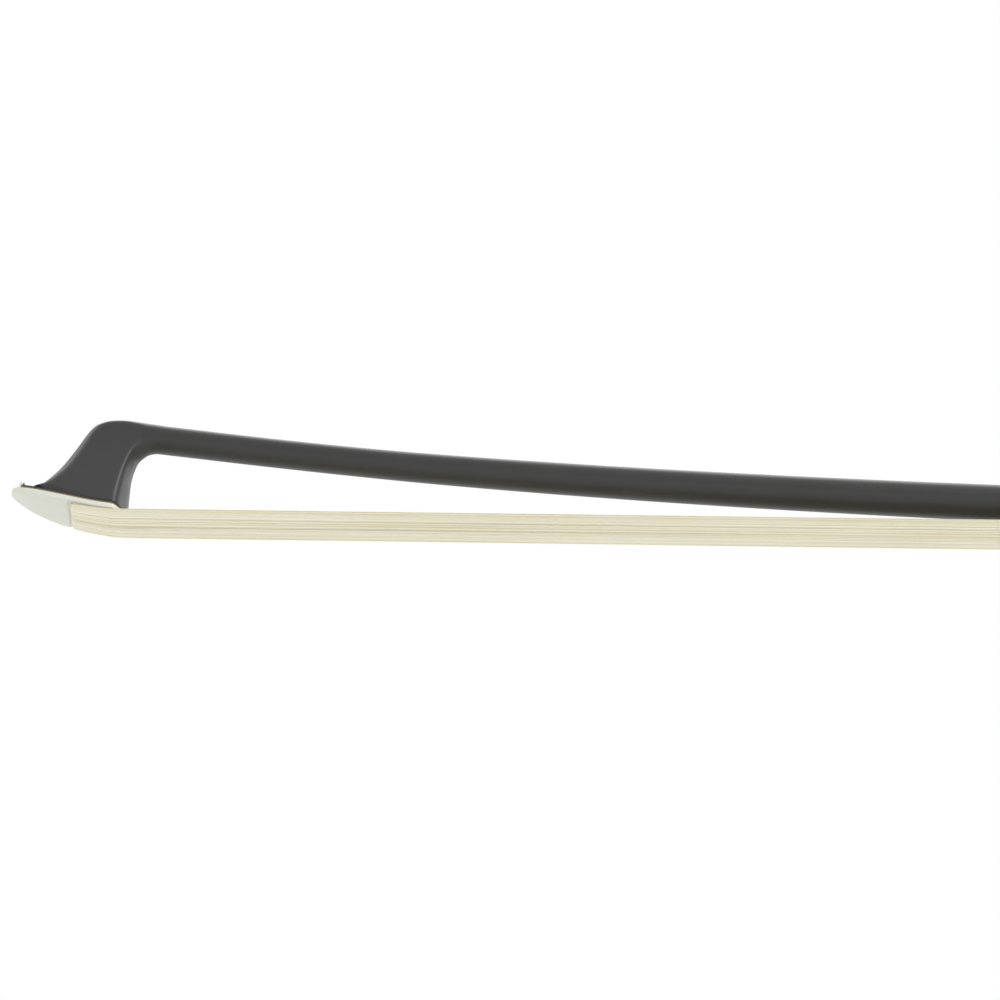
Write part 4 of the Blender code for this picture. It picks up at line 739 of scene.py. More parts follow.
def stick_point(station, angle, outward=0.0):
    """A point on the stick in metres, angle 0 being its underside, or that far outside it."""
    forward = axis_direction(station)
    upward = Vector((-forward.z, 0.0, forward.x))
    reach = stick_reach(station, angle) + outward
    centre = Vector((station, 0.0, axis_height(station)))
    place = centre + (Vector((0.0, math.sin(angle), 0.0)) - upward * math.cos(angle)) * reach
    return bow_point(*(place * MM))


print("axis above the hair at 300 mm", round(axis_height(300), 2), "mm")

# %% [markdown]
# The head is the bow's most sculpted form. It could be carved from a block with bevels, but its maker
# thinks of two lines, so it is drawn as pairs of points: one down its rear and one down its front
# ridge. They are given in millimetres, from the beak and above the hair.

# %% The head's two lines
HEAD_REAR = (
    (27.3, 17.55),
    (26.4, 17.35),
    (25.7, 17.0),
    (25.1, 16.5),
    (24.4, 15.75),
    (23.8, 14.75),
    (23.3, 13.1),
    (22.95, 11.4),
    (22.75, 9.5),
    (22.7, 7.7),
    (22.65, 5.9),
    (22.65, 4.2),
    (22.75, 2.6),
    (22.8, 1.6),
)
HEAD_FRONT = (
    (27.0, 23.35),
    (25.0, 23.75),
    (22.8, 24.2),
    (20.5, 24.5),
    (18.2, 24.4),
    (16.4, 24.0),
    (14.9, 23.1),
    (13.5, 21.05),
    (12.0, 18.1),
    (10.3, 15.0),
    (8.6, 12.35),
    (6.4, 9.75),
    (4.4, 8.05),
    (2.9, 7.5),
)

print("the head is drawn by", len(HEAD_REAR), "pairs of points")

# %% [markdown]
# The head's face, which the plate covers, is curved like a shallow bowl and narrows to the beak in
# front. Arcs could be fitted together for both, but one short formula for each is smooth all along:
# a parabola for its height and nearly an ellipse for its half-width.

# %% The face of the head
PLATE_LENGTH = 20.5
PLATE_HALF = 4.65
PLATE_NOSE = 14.0  # the length over which the plate narrows to its beak
NOSE_FULLNESS = 2.1  # a half ellipse has 2 and 0.5
NOSE_BLUNTNESS = 0.53
FACE_AT_KINK = 0.7
FACE_RISE = 6.15  # from the kink to the beak
FACE_SLOPE = 0.117
FACE_CURVE = (FACE_RISE - FACE_SLOPE * PLATE_LENGTH) / PLATE_LENGTH**2


def face_height(station):
    """The plate's underside where the hair lies on it."""
    back = max(PLATE_LENGTH - station, 0.0)
    return FACE_AT_KINK + FACE_SLOPE * back + FACE_CURVE * back**2


def face_half_width(station):
    ahead = min(max(1 - station / PLATE_NOSE, 0.0), 1.0)
    return PLATE_HALF * (1 - ahead**NOSE_FULLNESS) ** NOSE_BLUNTNESS


print("face rises", round(face_height(0) - face_height(PLATE_LENGTH), 2), "mm to the beak")

# %% [markdown]
# A section of the head has flat cheeks with a chamfer to each ridge, and the cheeks flare towards the
# face. A Bevel modifier would round these edges evenly, but the real ones change along the head. So a
# section's half-width is the least of three widths: of the rear ridge, the front ridge and the cheek.

# %% The head's ridges and cheeks
PLATE_THICKNESS = 0.9
HEAD_BASE_RISE = 1.6  # of the head's base above the plate's underside
CHEEK_HEIGHT = 20.0
CHEEK_FLARE = 1.5
REAR_RIDGE = (2.2, 1.6)  # radius, and half-width gained per millimetre of depth
FRONT_RIDGE = (1.3, 1.3)
RIDGE_CRISPNESS = 11
LEAST_WIDTH = 0.01


def ridge_half_width(depth, ridge):
    """Half-width at a depth behind a rounded ridge whose sides open out."""
    radius, chamfer = ridge
    tangent = radius * (1 - 1 / math.sqrt(1 + chamfer**-2))
    if depth < tangent:
        return math.sqrt(max(depth * (2 * radius - depth), 0.0))
    return math.sqrt(tangent * (2 * radius - tangent)) + (depth - tangent) * chamfer


def smooth_least(*widths):
    """The least of the widths, rounded off where two are nearly the same."""
    total = sum(max(width, LEAST_WIDTH) ** -RIDGE_CRISPNESS for width in widths)
    return total ** (-1 / RIDGE_CRISPNESS)


def plate_half_width(station):
    behind = max(HEAD_REAR[-1][0] - station, 0.0)
    return smooth_least(ridge_half_width(behind, REAR_RIDGE), face_half_width(station))


def cheek_half_width(station, height):
    above = min(max(height - face_height(station) - HEAD_BASE_RISE, 0.0), CHEEK_HEIGHT)
    flare = (1 - above / CHEEK_HEIGHT) ** CHEEK_FLARE
    return NECK_HALF * (1 - flare) + face_half_width(station) * flare


print("plate is", round(2 * plate_half_width(PLATE_NOSE), 2), "mm wide behind its nose")

# %% [markdown]
# The stick and the head are moulded in one piece, with no seam at the neck. Two meshes joined there
# would show one. So each outline has the same number of points, from the underside up one side to the
# top and back down the other, and the head's outlines start at its rear ridge in the same way.

# %% An outline of the stick and one of the head
HALF_POINTS = 40
BLEND_SECTIONS = 6.0  # over which the round stick turns into the head
half_turn = steps_between(0.0, math.pi, HALF_POINTS)


def mirrored_outline(points):
    """One side's points followed by the other side's. The first and the last lie on the middle."""
    return points + [Vector((p.x, -p.y, p.z)) for p in reversed(points[1:-1])]


def stick_outline(station):
    return mirrored_outline([stick_point(station, angle) for angle in half_turn])


def head_line(points, at):
    """A smooth line through the head's points, read at a place counted in points."""
    across = [(i, point[0]) for i, point in enumerate(points)]
    height = [(i, point[1]) for i, point in enumerate(points)]
    first = (across[1][1] - across[0][1], height[1][1] - height[0][1])
    last = (across[-1][1] - across[-2][1], height[-1][1] - height[-2][1])
    return Vector(
        (smooth_curve(across, at, first[0], last[0]), 0.0, smooth_curve(height, at, first[1], last[1]))
    )


def head_outline(at):
    """The head's section at a place counted in points down its ridges."""
    rear = head_line(HEAD_REAR, at)
    across = head_line(HEAD_FRONT, at) - rear
    share = min((at + 1) / BLEND_SECTIONS, 1.0)
    blend = share * share * (3 - 2 * share)
    points = []
    for angle in half_turn:
        part = (1 - math.cos(angle)) / 2
        place = rear + across * part
        width = smooth_least(
            ridge_half_width(part * across.length, REAR_RIDGE),
            ridge_half_width((1 - part) * across.length, FRONT_RIDGE),
            cheek_half_width(place.x, place.z),
        )
        half = (1 - blend) * NECK_HALF * math.sin(angle) + blend * width
        points.append(bow_point(place.x * MM, half * MM, place.z * MM))
    points[0].y = points[-1].y = 0.0
    return mirrored_outline(points)


print("an outline has", len(head_outline(0.0)), "points")

# %% [markdown]
# One extrusion runs from the handle through the neck and down the head to its face. The sections
# could be as few as the CAD model's, but more of them, with more points in each, keep the ridges
# even. The last outline is the edge of the head's base.


# %% All outlines from the handle to the face
def face_outline():
    """The edge of the head's base, which lies on the fibre lining and follows the plate."""
    start, end = HEAD_REAR[-1][0], HEAD_FRONT[-1][0]
    points = []
    for angle in half_turn:
        station = start + (end - start) * (1 - math.cos(angle)) / 2
        width = smooth_least(ridge_half_width(start - station, REAR_RIDGE), face_half_width(station - end))
        points.append(bow_point(station * MM, width * MM, (face_height(station) + HEAD_BASE_RISE) * MM))
    points[0].y = points[-1].y = 0.0
    return mirrored_outline(points)


HANDLE_CUT = 640.0  # where the drawn stick meets the CAD handle, under the winding
STICK_SECTIONS = 90
HEAD_SECTIONS_EACH = 5

stick_places = [
    HANDLE_CUT + (NECK_STATION - HANDLE_CUT) * share for share in steps_between(0.0, 1.0, STICK_SECTIONS)
]
stick_lines = [stick_outline(place) for place in stick_places]
head_places = steps_between(0.0, len(HEAD_REAR) - 1.0, (len(HEAD_REAR) - 1) * HEAD_SECTIONS_EACH)
head_lines = [head_outline(place) for place in head_places]
print("outlines", len(stick_lines) + len(head_lines) + 1)

# %% [markdown]
# The handle has the eyelet's slot and the screw's bore in it. They could be cut again with Booleans,
# but the CAD model has them exactly. So a copy of the CAD stick is joined up, cut across where the
# winding will hide the seam, and bridged to the drawn stick. At the other end the head's base is
# filled and split across, so that it keeps the curve of the face.


# %% The stick and head
SAME_PLACE = 0.002 * MM
SAME_FLAT = math.radians(0.3)
ON_THE_CUT = 0.0001 * MM
JOIN_GAP = 0.05


def joined_cad(shape, node):
    """Adds a CAD node's triangles to a shape, merged and with its flat faces made whole."""
    before = len(shape.verts)
    shape.from_mesh(frame["nodes"][node].data)
    shape.verts.ensure_lookup_table()
    bmesh.ops.remove_doubles(shape, verts=shape.verts[before:], dist=SAME_PLACE)
    shape.verts.ensure_lookup_table()
    added = shape.verts[before:]
    edges = list({edge: True for vert in added for edge in vert.link_edges})
    bmesh.ops.dissolve_limit(shape, angle_limit=SAME_FLAT, verts=added, edges=edges)
    shape.verts.ensure_lookup_table()
    return shape.verts[before:]


stick_shape, stick_start, head_end = extruded_outlines(stick_lines + head_lines + [face_outline()])
bmesh.ops.contextual_create(stick_shape, geom=outline_edges(head_end))
for i in range(1, HALF_POINTS):
    bmesh.ops.connect_verts(stick_shape, verts=[head_end[i], head_end[-i]])
drawn_rim = outline_edges(stick_start)

handle_verts = joined_cad(stick_shape, "stick")
handle_edges = list({edge: True for vert in handle_verts for edge in vert.link_edges})
handle_faces = list({face: True for vert in handle_verts for face in vert.link_faces})
cut_place = bow_point((HANDLE_CUT + JOIN_GAP) * MM, 0.0, axis_height(HANDLE_CUT + JOIN_GAP) * MM)
bmesh.ops.bisect_plane(
    stick_shape,
    geom=handle_verts + handle_edges + handle_faces,
    dist=ON_THE_CUT,
    plane_co=cut_place,
    plane_no=ALONG,
    clear_inner=True,
)
cad_rim = [edge for edge in stick_shape.edges if edge.is_boundary and edge not in set(drawn_rim)]
bmesh.ops.bridge_loops(stick_shape, edges=drawn_rim + cad_rim)
finished_piece("moulded_stick", stick_shape, "stick", carbon, ("stick",))

# %% [markdown]
# The plate protects the head's face and follows its curve. A sheet with a Solidify modifier would have
# the same thickness all over, but this plate's section is flat below with rounded edges, and near the
# beak its upper side rises to a small spur. In front of the mortise it stands proud by a quarter of a
# millimetre, and the hair starts at that step. So it is drawn by its outlines, closer together at the
# beak and at the rear, where its width changes quickly.

# %% The plate on the head's face
PLATE_STEP_STATION = 11.2
PLATE_STEP = 0.25
PLATE_STEP_LENGTH = 0.3
PLATE_EDGE = 0.25
PLATE_END = HEAD_REAR[-1][0] - 0.1
UNDER_SHOULDER = 0.4  # of the half-width, where the flat underside has a point
SPUR_PEAK, SPUR_END, SPUR_HEIGHT = 1.7, 2.1, 3.2
SPUR_SWEEP = 1.4  # over 1, its front is hollow
SPUR_BREADTH = 0.25
SHOULDER_HEIGHT = 0.25  # shares of the spur's height
FLANK_HEIGHT = 0.62
EDGE_POINTS = 5
NOSE_SECTIONS = 40
FIRST_SHARE = 0.03  # of the nose, squared, where its first outline is
REAR_SECTIONS = 18


def spur_height(station):
    if station <= SPUR_PEAK:
        return SPUR_HEIGHT * (station / SPUR_PEAK) ** SPUR_SWEEP
    return SPUR_HEIGHT * max(SPUR_END - station, 0.0) / (SPUR_END - SPUR_PEAK)


def spur_side(half, high, spur, breadth):
    """The upper points of a section that rises to a spur in its middle, from its edge inwards."""
    shoulder = (half * 2 * breadth, high + spur * SHOULDER_HEIGHT)
    flank = (half * breadth, high + spur * FLANK_HEIGHT)
    return [(half, high), shoulder, flank, (0.0, high + spur)]


def plate_outline(station, proud):
    half = plate_half_width(station)
    edge = min(PLATE_EDGE, half / 2)
    low = face_height(station) - proud
    high = face_height(station) + PLATE_THICKNESS
    side = [(0.0, low), (half * UNDER_SHOULDER, low)]
    for angle in steps_between(0.0, math.pi / 2, EDGE_POINTS):
        side.append((half - edge + edge * math.sin(angle), low + edge - edge * math.cos(angle)))
    side += spur_side(half, high, spur_height(station), SPUR_BREADTH)
    return mirrored_outline([bow_point(station * MM, y * MM, z * MM) for y, z in side])


def towards_the_rear(start, count):
    """Places from one on the plate to its rounded end, closer together towards the end."""
    return [start + (PLATE_END - start) * math.sin(turn) for turn in steps_between(0.0, math.pi / 2, count)]


nose_places = [PLATE_STEP_STATION * share**2 for share in steps_between(FIRST_SHARE, 1.0, NOSE_SECTIONS)]
nose_places += [SPUR_PEAK, SPUR_END]
rear_places = towards_the_rear(PLATE_STEP_STATION + PLATE_STEP_LENGTH, REAR_SECTIONS) + [PLATE_LENGTH]
plate_lines = [plate_outline(place, PLATE_STEP) for place in sorted(nose_places)]
plate_lines += [plate_outline(place, 0.0) for place in sorted(rear_places)]
plate_shape = closed_outlines(plate_lines)
finished_piece("face_plate", plate_shape, "stick", ivory, ("tip_plate",))

# %% [markdown]
# The lining between the plate and the head is cut to the same outline, so it is drawn in the same way
# as the plate. Behind the spur it turns up a little, which shows as a dark fleck. Its lower edge
# carries a thin golden line of glue: an attribute on its vertices, one below and zero above, tells
# the finish where that edge is.

# %% The fibre lining
LINING_THICKNESS = 0.5
LINING_GAP = 0.1  # between the plate and the lining
LINING_START = 2.16
LIP_LENGTH = 1.1
LIP_HEIGHT = 2.4
LIP_BREADTH = 0.4
LIP_SECTIONS = 4
LINING_SECTIONS = 16
AFTER_THE_STEP = 0.5


def lining_side(station):
    """Half of the lining's section, from under its middle to the lip that it has behind the spur."""
    half = plate_half_width(station)
    low = face_height(station) + PLATE_THICKNESS + LINING_GAP
    lip = LIP_HEIGHT * max(1 - (station - LINING_START) / LIP_LENGTH, 0.0)
    return [(0.0, low), (half, low)] + spur_side(half, low + LINING_THICKNESS, lip, LIP_BREADTH)


lining_places = [LINING_START + LIP_LENGTH * share for share in steps_between(0.0, 1.0, LIP_SECTIONS)]
lining_places += steps_between(LINING_START + 2 * LIP_LENGTH, PLATE_STEP_STATION, LINING_SECTIONS)
lining_places += towards_the_rear(PLATE_STEP_STATION + AFTER_THE_STEP, REAR_SECTIONS)
lining_lines = [
    mirrored_outline([bow_point(place * MM, y * MM, z * MM) for y, z in lining_side(place)])
    for place in lining_places
]
lining_shape = closed_outlines(lining_lines)
glue_line = lining_shape.verts.layers.float.new("glue_line")
for vert in lining_shape.verts:
    station = (vert.co.x + BOW_LENGTH / 2) / MM
    above = (vert.co.z - HAIR_LIFT) / MM - face_height(station) - PLATE_THICKNESS - LINING_GAP
    vert[glue_line] = 1.0 if above < LINING_THICKNESS / 2 else 0.0
finished_piece("fibre_lining", lining_shape, "stick", fibre, ("tip_liner",))

# %% [markdown]
# A real hank has some 150 hairs, laid flat and glued at both ends. They come out of the head's
# mortise over its front edge, fan out at once to nearly their full width and run along the plate to
# its heel, then straight to the frog. Particle hair would be quick, but it has no solid strands and
# its ends can't be led round an edge. So the hank is drawn by its stations: the middle of the hair,
# the direction across its thickness, and its width.


# %% The hank's way from the head to the frog
HANK_THICKNESS = 0.6
MORTISE_STATION = 11.7
TIP_KNOT_HEIGHT = 7.3
HAIR_GAP = 0.1  # between the hair and what it lies on
HEAD_BEND = 0.42
WIDTH_IN_MORTISE = 5.6
WIDTHS_ROUND_BEND = (6.6, 7.4, 8.0, 8.3, 8.4)
AFTER_THE_BEND = 1.6
WIDENING_ON_PLATE = 0.8
FREE_STATIONS = (24.0, 34.0, 60.0, 110.0, 180.0, 260.0, 340.0, 430.0, 520.0, 600.0, 655.0)
FREE_WIDTHS = ((FREE_STATIONS[0], 9.4), (FERRULE_STATION, 10.2))
PLATE_PARTS = 4  # from the bend to the kink


def head_stations():
    """The hank's places from the knot in the head, round the mortise's edge and along the plate."""
    wall = MORTISE_STATION + HAIR_GAP + HANK_THICKNESS / 2
    turn = wall + HEAD_BEND
    turn_z = face_height(turn) - HAIR_GAP - HANK_THICKNESS / 2 + HEAD_BEND
    stations = [(Vector((wall, 0.0, TIP_KNOT_HEIGHT)), Vector((1.0, 0.0, 0.0)), WIDTH_IN_MORTISE)]
    turning = steps_between(0.0, math.pi / 2, len(WIDTHS_ROUND_BEND) - 1)
    for angle, width in zip(turning, WIDTHS_ROUND_BEND):
        inward = Vector((math.cos(angle), 0.0, math.sin(angle)))
        stations.append((Vector((turn, 0.0, turn_z)) - inward * HEAD_BEND, inward, width))
    for station in steps_between(turn + AFTER_THE_BEND, PLATE_LENGTH, PLATE_PARTS):
        slope = -FACE_SLOPE - 2 * FACE_CURVE * (PLATE_LENGTH - station)
        inward = Vector((-slope, 0.0, 1.0)).normalized()
        share = (station - wall) / (PLATE_LENGTH - wall)
        middle = Vector((station, 0.0, face_height(station) - HAIR_GAP - HANK_THICKNESS / 2))
        stations.append((middle, inward, WIDTHS_ROUND_BEND[-1] + WIDENING_ON_PLATE * share))
    return stations


def free_stations():
    """The hank's places from the head to the ferrule, where it is straight."""
    upward = Vector((0.0, 0.0, 1.0))
    return [
        (Vector((station, 0.0, HANK_THICKNESS / 2)), upward, smooth_curve(FREE_WIDTHS, station))
        for station in FREE_STATIONS
    ]


print("stations from the head to the ferrule", len(head_stations() + free_stations()))

# %% [markdown]
# In the frog the hank first lies in the ferrule, where a wedge spreads it, then runs under the slide
# and turns up into the frog's mortise. The handle is tilted to the hair, so these stations are given
# in the handle frame, as on the real frog, and then turned into the bow frame.


# %% The hank's way inside the frog
UNDER_FERRULE = ((0.0, -22.8, 10.2), (8.4, -22.8, 10.2), (12.6, -21.3, 7.4))  # along, up, width
FROG_BEND = 0.7
FROG_BEND_CENTRE = Vector((26.4, 0.0, -20.6))
FROG_BEND_PARTS = 3
WIDTH_IN_FROG = 7.4
FROG_KNOT_PLACE = Vector((27.1, 0.0, -17.6))


def frog_stations():
    """The hank's places from the ferrule's mouth to the frog's knot, in the handle frame."""
    stations = []
    for x, z, width in UNDER_FERRULE:
        stations.append((Vector((x, 0.0, z)), Vector((0.0, 0.0, 1.0)), width))
    for angle in steps_between(0.0, math.pi / 2, FROG_BEND_PARTS):
        inward = Vector((-math.sin(angle), 0.0, math.cos(angle)))
        stations.append((FROG_BEND_CENTRE - inward * FROG_BEND, inward, WIDTH_IN_FROG))
    stations.append((FROG_KNOT_PLACE, Vector((-1.0, 0.0, 0.0)), WIDTH_IN_MORTISE))
    return stations


def in_bow_frame(station):
    """A frog station's middle, thickness direction and width, in the bow frame's millimetres."""
    middle, inward, width = station
    place = handle_point(*(middle * MM))
    turned = ALONG * inward.x + UP * inward.z
    return Vector(((place.x + BOW_LENGTH / 2) / MM, 0.0, (place.z - HAIR_LIFT) / MM)), turned, width


hank_line = head_stations() + free_stations() + [in_bow_frame(station) for station in frog_stations()]
hank_steps = zip(hank_line, hank_line[1:])
print("hair from knot to knot", round(sum((b[0] - a[0]).length for a, b in hank_steps)), "mm")

# %% [markdown]
# Each strand stands for one hair or two. What makes a hank look like hair is that no two strands are
# alike, so each gets its own place across the hank, its own small wander and its own tone from a
# random generator that starts the same way every time.


# %% A strand of the hank
LAYERS = 3
STRANDS_IN_LAYER = 46
STRAW_SHARE = 0.12  # of the hairs that are plainly straw-coloured
PLACE_CHANCE = 0.16  # of a strand's width, to each side
DEPTH_CHANCE = 0.02
LAYER_SHIFT = 0.5
WANDER = (0.02, 0.11)
WANDER_WAVE = 0.021  # radians for each millimetre along the bow
MOST_SWAY_SHARE = 0.5
STRAND_OVERLAP = 1.08
dice = random.Random(7)


class Strand:
    """One hair's place in the hank, from -1 to 1 across it, and its own wander and tone."""

    def __init__(self, layer, number):
        place = number + 0.5 + dice.uniform(-PLACE_CHANCE, PLACE_CHANCE)
        self.across = (2 * place / STRANDS_IN_LAYER) - 1
        self.across += (layer - 1) * LAYER_SHIFT / STRANDS_IN_LAYER
        self.depth = (layer - (LAYERS - 1) / 2) * HANK_THICKNESS / LAYERS
        self.depth += dice.uniform(-DEPTH_CHANCE, DEPTH_CHANCE)
        self.tone = dice.random() if dice.random() > STRAW_SHARE else 0.0
        self.phase = dice.uniform(0.0, 2 * math.pi)
        self.wander = dice.uniform(*WANDER)

    def corners(self, station):
        """The strand's four corners at a station of the hank, in metres."""
        middle, inward, width = station
        sway = self.wander * math.sin(self.phase + middle.x * WANDER_WAVE)
        half_across = width / STRANDS_IN_LAYER / 2 * STRAND_OVERLAP
        half_deep = HANK_THICKNESS / LAYERS / 2
        y = self.across * (width / 2 - half_across) + sway * min(1 - abs(self.across), MOST_SWAY_SHARE)
        place = middle + inward * self.depth
        offsets = ((0.0, -half_deep), (half_across, 0.0), (0.0, half_deep), (-half_across, 0.0))
        return [
            bow_point(*((place + inward * deep + Vector((0.0, y + aside, 0.0))) * MM))
            for aside, deep in offsets
        ]


strands = [Strand(layer, number) for layer in range(LAYERS) for number in range(STRANDS_IN_LAYER)]
print("strands", len(strands), "of them straw-coloured", sum(strand.tone == 0.0 for strand in strands))

# %% [markdown]
# All of the strands are extruded together from one station to the next. Each has four sides only,
# as there are many of them. The hank is fixed to the head at one end and to the frog at the other, so
# it rides on neither body.

# %% The hank of horsehair
STRAND_SIDES = 4
HAIR_SMOOTH_BELOW = math.radians(100)

hank_shape = bmesh.new()
tones = hank_shape.verts.layers.float.new("strand_tone")
hank_verts = []
for strand in strands:
    hank_verts += first_outline(hank_shape, strand.corners(hank_line[0]))
hank_ends = [hank_verts]
for station in hank_line[1:]:
    corners = [corner for strand in strands for corner in strand.corners(station)]
    hank_verts = next_outline(hank_shape, hank_verts, corners)
    hank_ends.append(hank_verts)
for line in hank_ends:
    for i, vert in enumerate(line):
        vert[tones] = strands[i // STRAND_SIDES].tone
for line in (hank_ends[0], hank_ends[-1]):
    bmesh.ops.holes_fill(hank_shape, edges=outline_edges(line), sides=STRAND_SIDES)
hank_piece = finished_piece(
    "horsehair_hank", hank_shape, None, horsehair, ("hair_ribbon",), HAIR_SMOOTH_BELOW
)
tuple(bow_point(30.0 * MM, 0.0, 0.3 * MM))
tuple(bow_point(674.0 * MM, 0.0, 0.3 * MM))
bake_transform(hank_piece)

# %% [markdown]
# The grip's silver wire is wound turn on turn, 0.3 mm thick. Ridges in the finish would look right
# from far off, but their outline would be straight, so the wire is wound for real. A small five-sided
# outline is spun once round the stick's axis while it moves on by its own thickness, and that turn is
# repeated along the grip and merged into one wire. Afterwards each vertex is moved in or out to lie on
# the stick, which is round there at first and then octagonal.

# %% The silver winding
WIRE = 0.3
WINDING_START = 582.35
WINDING_LENGTH = 73.9
WIRE_SIDES = 5
TURN_STEPS = 24
FIRST_ANGLE = math.radians(7.5)
GLUE = 0.1
SAME_WIRE = 0.001 * MM
WIRE_SMOOTH_BELOW = math.radians(85)

wire_turns = round((WINDING_LENGTH - WIRE) / WIRE)
winding_shape = bmesh.new()
bmesh.ops.create_circle(winding_shape, segments=WIRE_SIDES, radius=WIRE / 2 * MM)
spin_radius = FLAT_HALF + GLUE + WIRE / 2
stand_up = Matrix.Rotation(FIRST_ANGLE, 4, "X") @ Matrix.Translation((0.0, 0.0, -spin_radius * MM))
stand_up = stand_up @ Matrix.Rotation(math.pi / 2, 4, "X")
bmesh.ops.transform(winding_shape, matrix=stand_up, verts=winding_shape.verts)
bmesh.ops.spin(
    winding_shape,
    geom=list(winding_shape.verts) + list(winding_shape.edges),
    cent=(0.0, 0.0, 0.0),
    axis=(1.0, 0.0, 0.0),
    dvec=(WIRE / TURN_STEPS * MM, 0.0, 0.0),
    angle=2 * math.pi,
    steps=TURN_STEPS,
    use_duplicate=False,
)
one_turn = list(winding_shape.verts) + list(winding_shape.edges) + list(winding_shape.faces)
for turn in range(1, wire_turns):
    repeated = bmesh.ops.duplicate(winding_shape, geom=one_turn)["geom"]
    turn_verts = [item for item in repeated if isinstance(item, bmesh.types.BMVert)]
    bmesh.ops.translate(winding_shape, verts=turn_verts, vec=(WIRE * turn * MM, 0.0, 0.0))
bmesh.ops.remove_doubles(winding_shape, verts=winding_shape.verts, dist=SAME_WIRE)
wire_ends = [edge for edge in winding_shape.edges if edge.is_boundary]
bmesh.ops.holes_fill(winding_shape, edges=wire_ends, sides=WIRE_SIDES)
for vert in winding_shape.verts:
    station = WINDING_START + WIRE / 2 + vert.co.x / MM
    angle = math.atan2(vert.co.y, -vert.co.z)
    from_axis = math.hypot(vert.co.y, vert.co.z) / MM
    vert.co = stick_point(station, angle, from_axis - FLAT_HALF)
finished_piece(
    "silver_winding", winding_shape, "stick", silver, ("wire_winding",), WIRE_SMOOTH_BELOW
)
print("turns of wire", wire_turns)

# %% [markdown]
# The thumb leather is a strip glued round the stick with its edges pared thin and lapped. A plain
# tube would show none of that. So it is a sleeve whose outline goes along the outside and back along
# the inside. Its thickness falls off at both ends, and a low step runs along it where one edge lies on
# the other.

# %% The thumb leather
LEATHER_START = 656.4
LEATHER_LENGTH = 26.0
LEATHER_THICKNESS = 0.9
LAP_ANGLE = math.radians(118)
LAP_WIDTH = math.radians(40)
LAP_STEP = 0.12
PARED_THICKNESS = 0.25
PARED_LENGTH = 1.1
OUTSIDE_SECTIONS = 44
INSIDE_SECTIONS = 11


def leather_thickness(share, angle):
    """The leather's thickness at a share of its length and an angle round the stick."""
    from_end = min(min(share, 1 - share) * LEATHER_LENGTH / PARED_LENGTH, 1.0)
    paring = math.sqrt(from_end * (2 - from_end))
    lap = LAP_STEP if 0 < (angle - LAP_ANGLE) % (2 * math.pi) < LAP_WIDTH else 0.0
    return PARED_THICKNESS + (LEATHER_THICKNESS - LAP_STEP - PARED_THICKNESS) * paring + lap * paring


around = steps_between(0.0, 2 * math.pi, 2 * HALF_POINTS)[:-1]
leather_lines = []
for share in steps_between(0.0, 1.0, OUTSIDE_SECTIONS):
    station = LEATHER_START + LEATHER_LENGTH * share
    outside = [GLUE + leather_thickness(share, angle) for angle in around]
    leather_lines.append([stick_point(station, *place) for place in zip(around, outside)])
for share in reversed(steps_between(0.0, 1.0, INSIDE_SECTIONS)):
    station = LEATHER_START + LEATHER_LENGTH * share
    leather_lines.append([stick_point(station, angle, GLUE) for angle in around])
leather_shape = sleeve(leather_lines)
finished_piece("thumb_grip_leather", leather_shape, "stick", leather, ("thumb_leather",))

# %% [markdown]
# The frog, its metal and the button have the CAD model's shapes, which were cut exactly. On the real
# bow no edge of them is sharp: files and polishing leave a tiny round, and it is the line of light on
# that round which makes an edge look real. The edges could be rounded by hand in edit mode, but a
# Bevel modifier finds the sharp ones by their angle and can be changed later. Each piece is a
# joined-up copy of its node with such a bevel.


# %% Pieces of the frog and button, with softened edges
EDGE_SEGMENTS = 2
SHARP_FROM = math.radians(34)


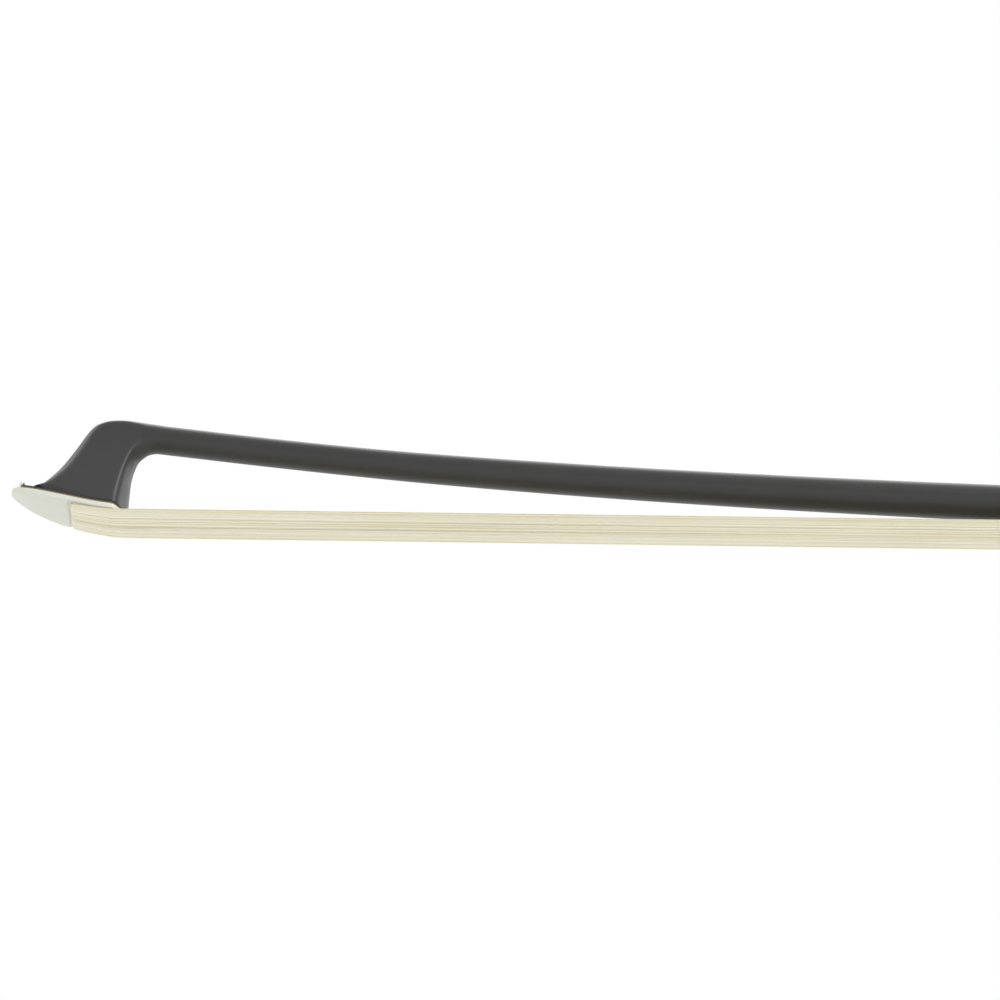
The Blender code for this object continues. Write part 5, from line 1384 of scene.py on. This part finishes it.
def softened_copy(node, name, body, finish, edge_width):
    """A CAD node's shape with its sharp edges rounded, to stand for the node."""
    shape = bmesh.new()
    joined_cad(shape, node)
    piece = finished_piece(name, shape, body, finish, (node,))
    rounding = piece.modifiers.new("softened_edges", "BEVEL")
    rounding.width = edge_width * MM
    rounding.segments = EDGE_SEGMENTS
    rounding.limit_method = "ANGLE"
    rounding.angle_limit = SHARP_FROM


softened_copy("frog_body", "ebony_frog", "frog", ebony, 0.15)
softened_copy("ferrule", "nickel_ferrule", "frog", nickel, 0.1)
softened_copy("heel_plate", "nickel_heel_plate", "frog", nickel, 0.1)
softened_copy("slide_pearl", "pearl_slide", "frog", pearl, 0.06)
softened_copy("eye_pearl_left", "pearl_eye_left", "frog", pearl, 0.05)
softened_copy("eye_pearl_right", "pearl_eye_right", "frog", pearl, 0.05)
softened_copy("eye_ring_left", "nickel_ring_left", "frog", nickel, 0.06)
softened_copy("eye_ring_right", "nickel_ring_right", "frog", nickel, 0.06)
softened_copy("button_front_collar", "nickel_front_collar", "screw", nickel, 0.1)
softened_copy("button_core", "ebony_button", "screw", ebony, 0.1)
softened_copy("button_end_collar", "nickel_end_collar", "screw", nickel, 0.1)
softened_copy("button_pearl_dot", "pearl_dot", "screw", pearl, 0.05)

# %% [markdown]
# The pieces that are left are pins, plugs, knots and the screw, small or hidden. They could be drawn
# again, but their CAD shapes are right as they are, so they only get their finishes.

# %% Finishes for the CAD pieces that stay
KEPT_PIECES = {
    "tip_plug": maple,
    "tip_hair_knot": thread,
    "spread_wedge": maple,
    "slide_backing": ebony,
    "heel_plate_pin_base": nickel,
    "heel_plate_pin_back": nickel,
    "underslide": nickel,
    "underslide_pin_front": nickel,
    "underslide_pin_back": nickel,
    "frog_plug": maple,
    "frog_hair_knot": thread,
    "eyelet": brass,
    "screw_shaft": steel,
}
for node, finish in KEPT_PIECES.items():
    for slot in frame["nodes"][node].material_slots:
        slot.link = "OBJECT"
        slot.material = finish.material
print("kept", len(KEPT_PIECES), "CAD pieces")

# %% [markdown]
# Last, the view layer is brought up to date.

# %% Bring the scene up to date
bpy.context.view_layer.update()
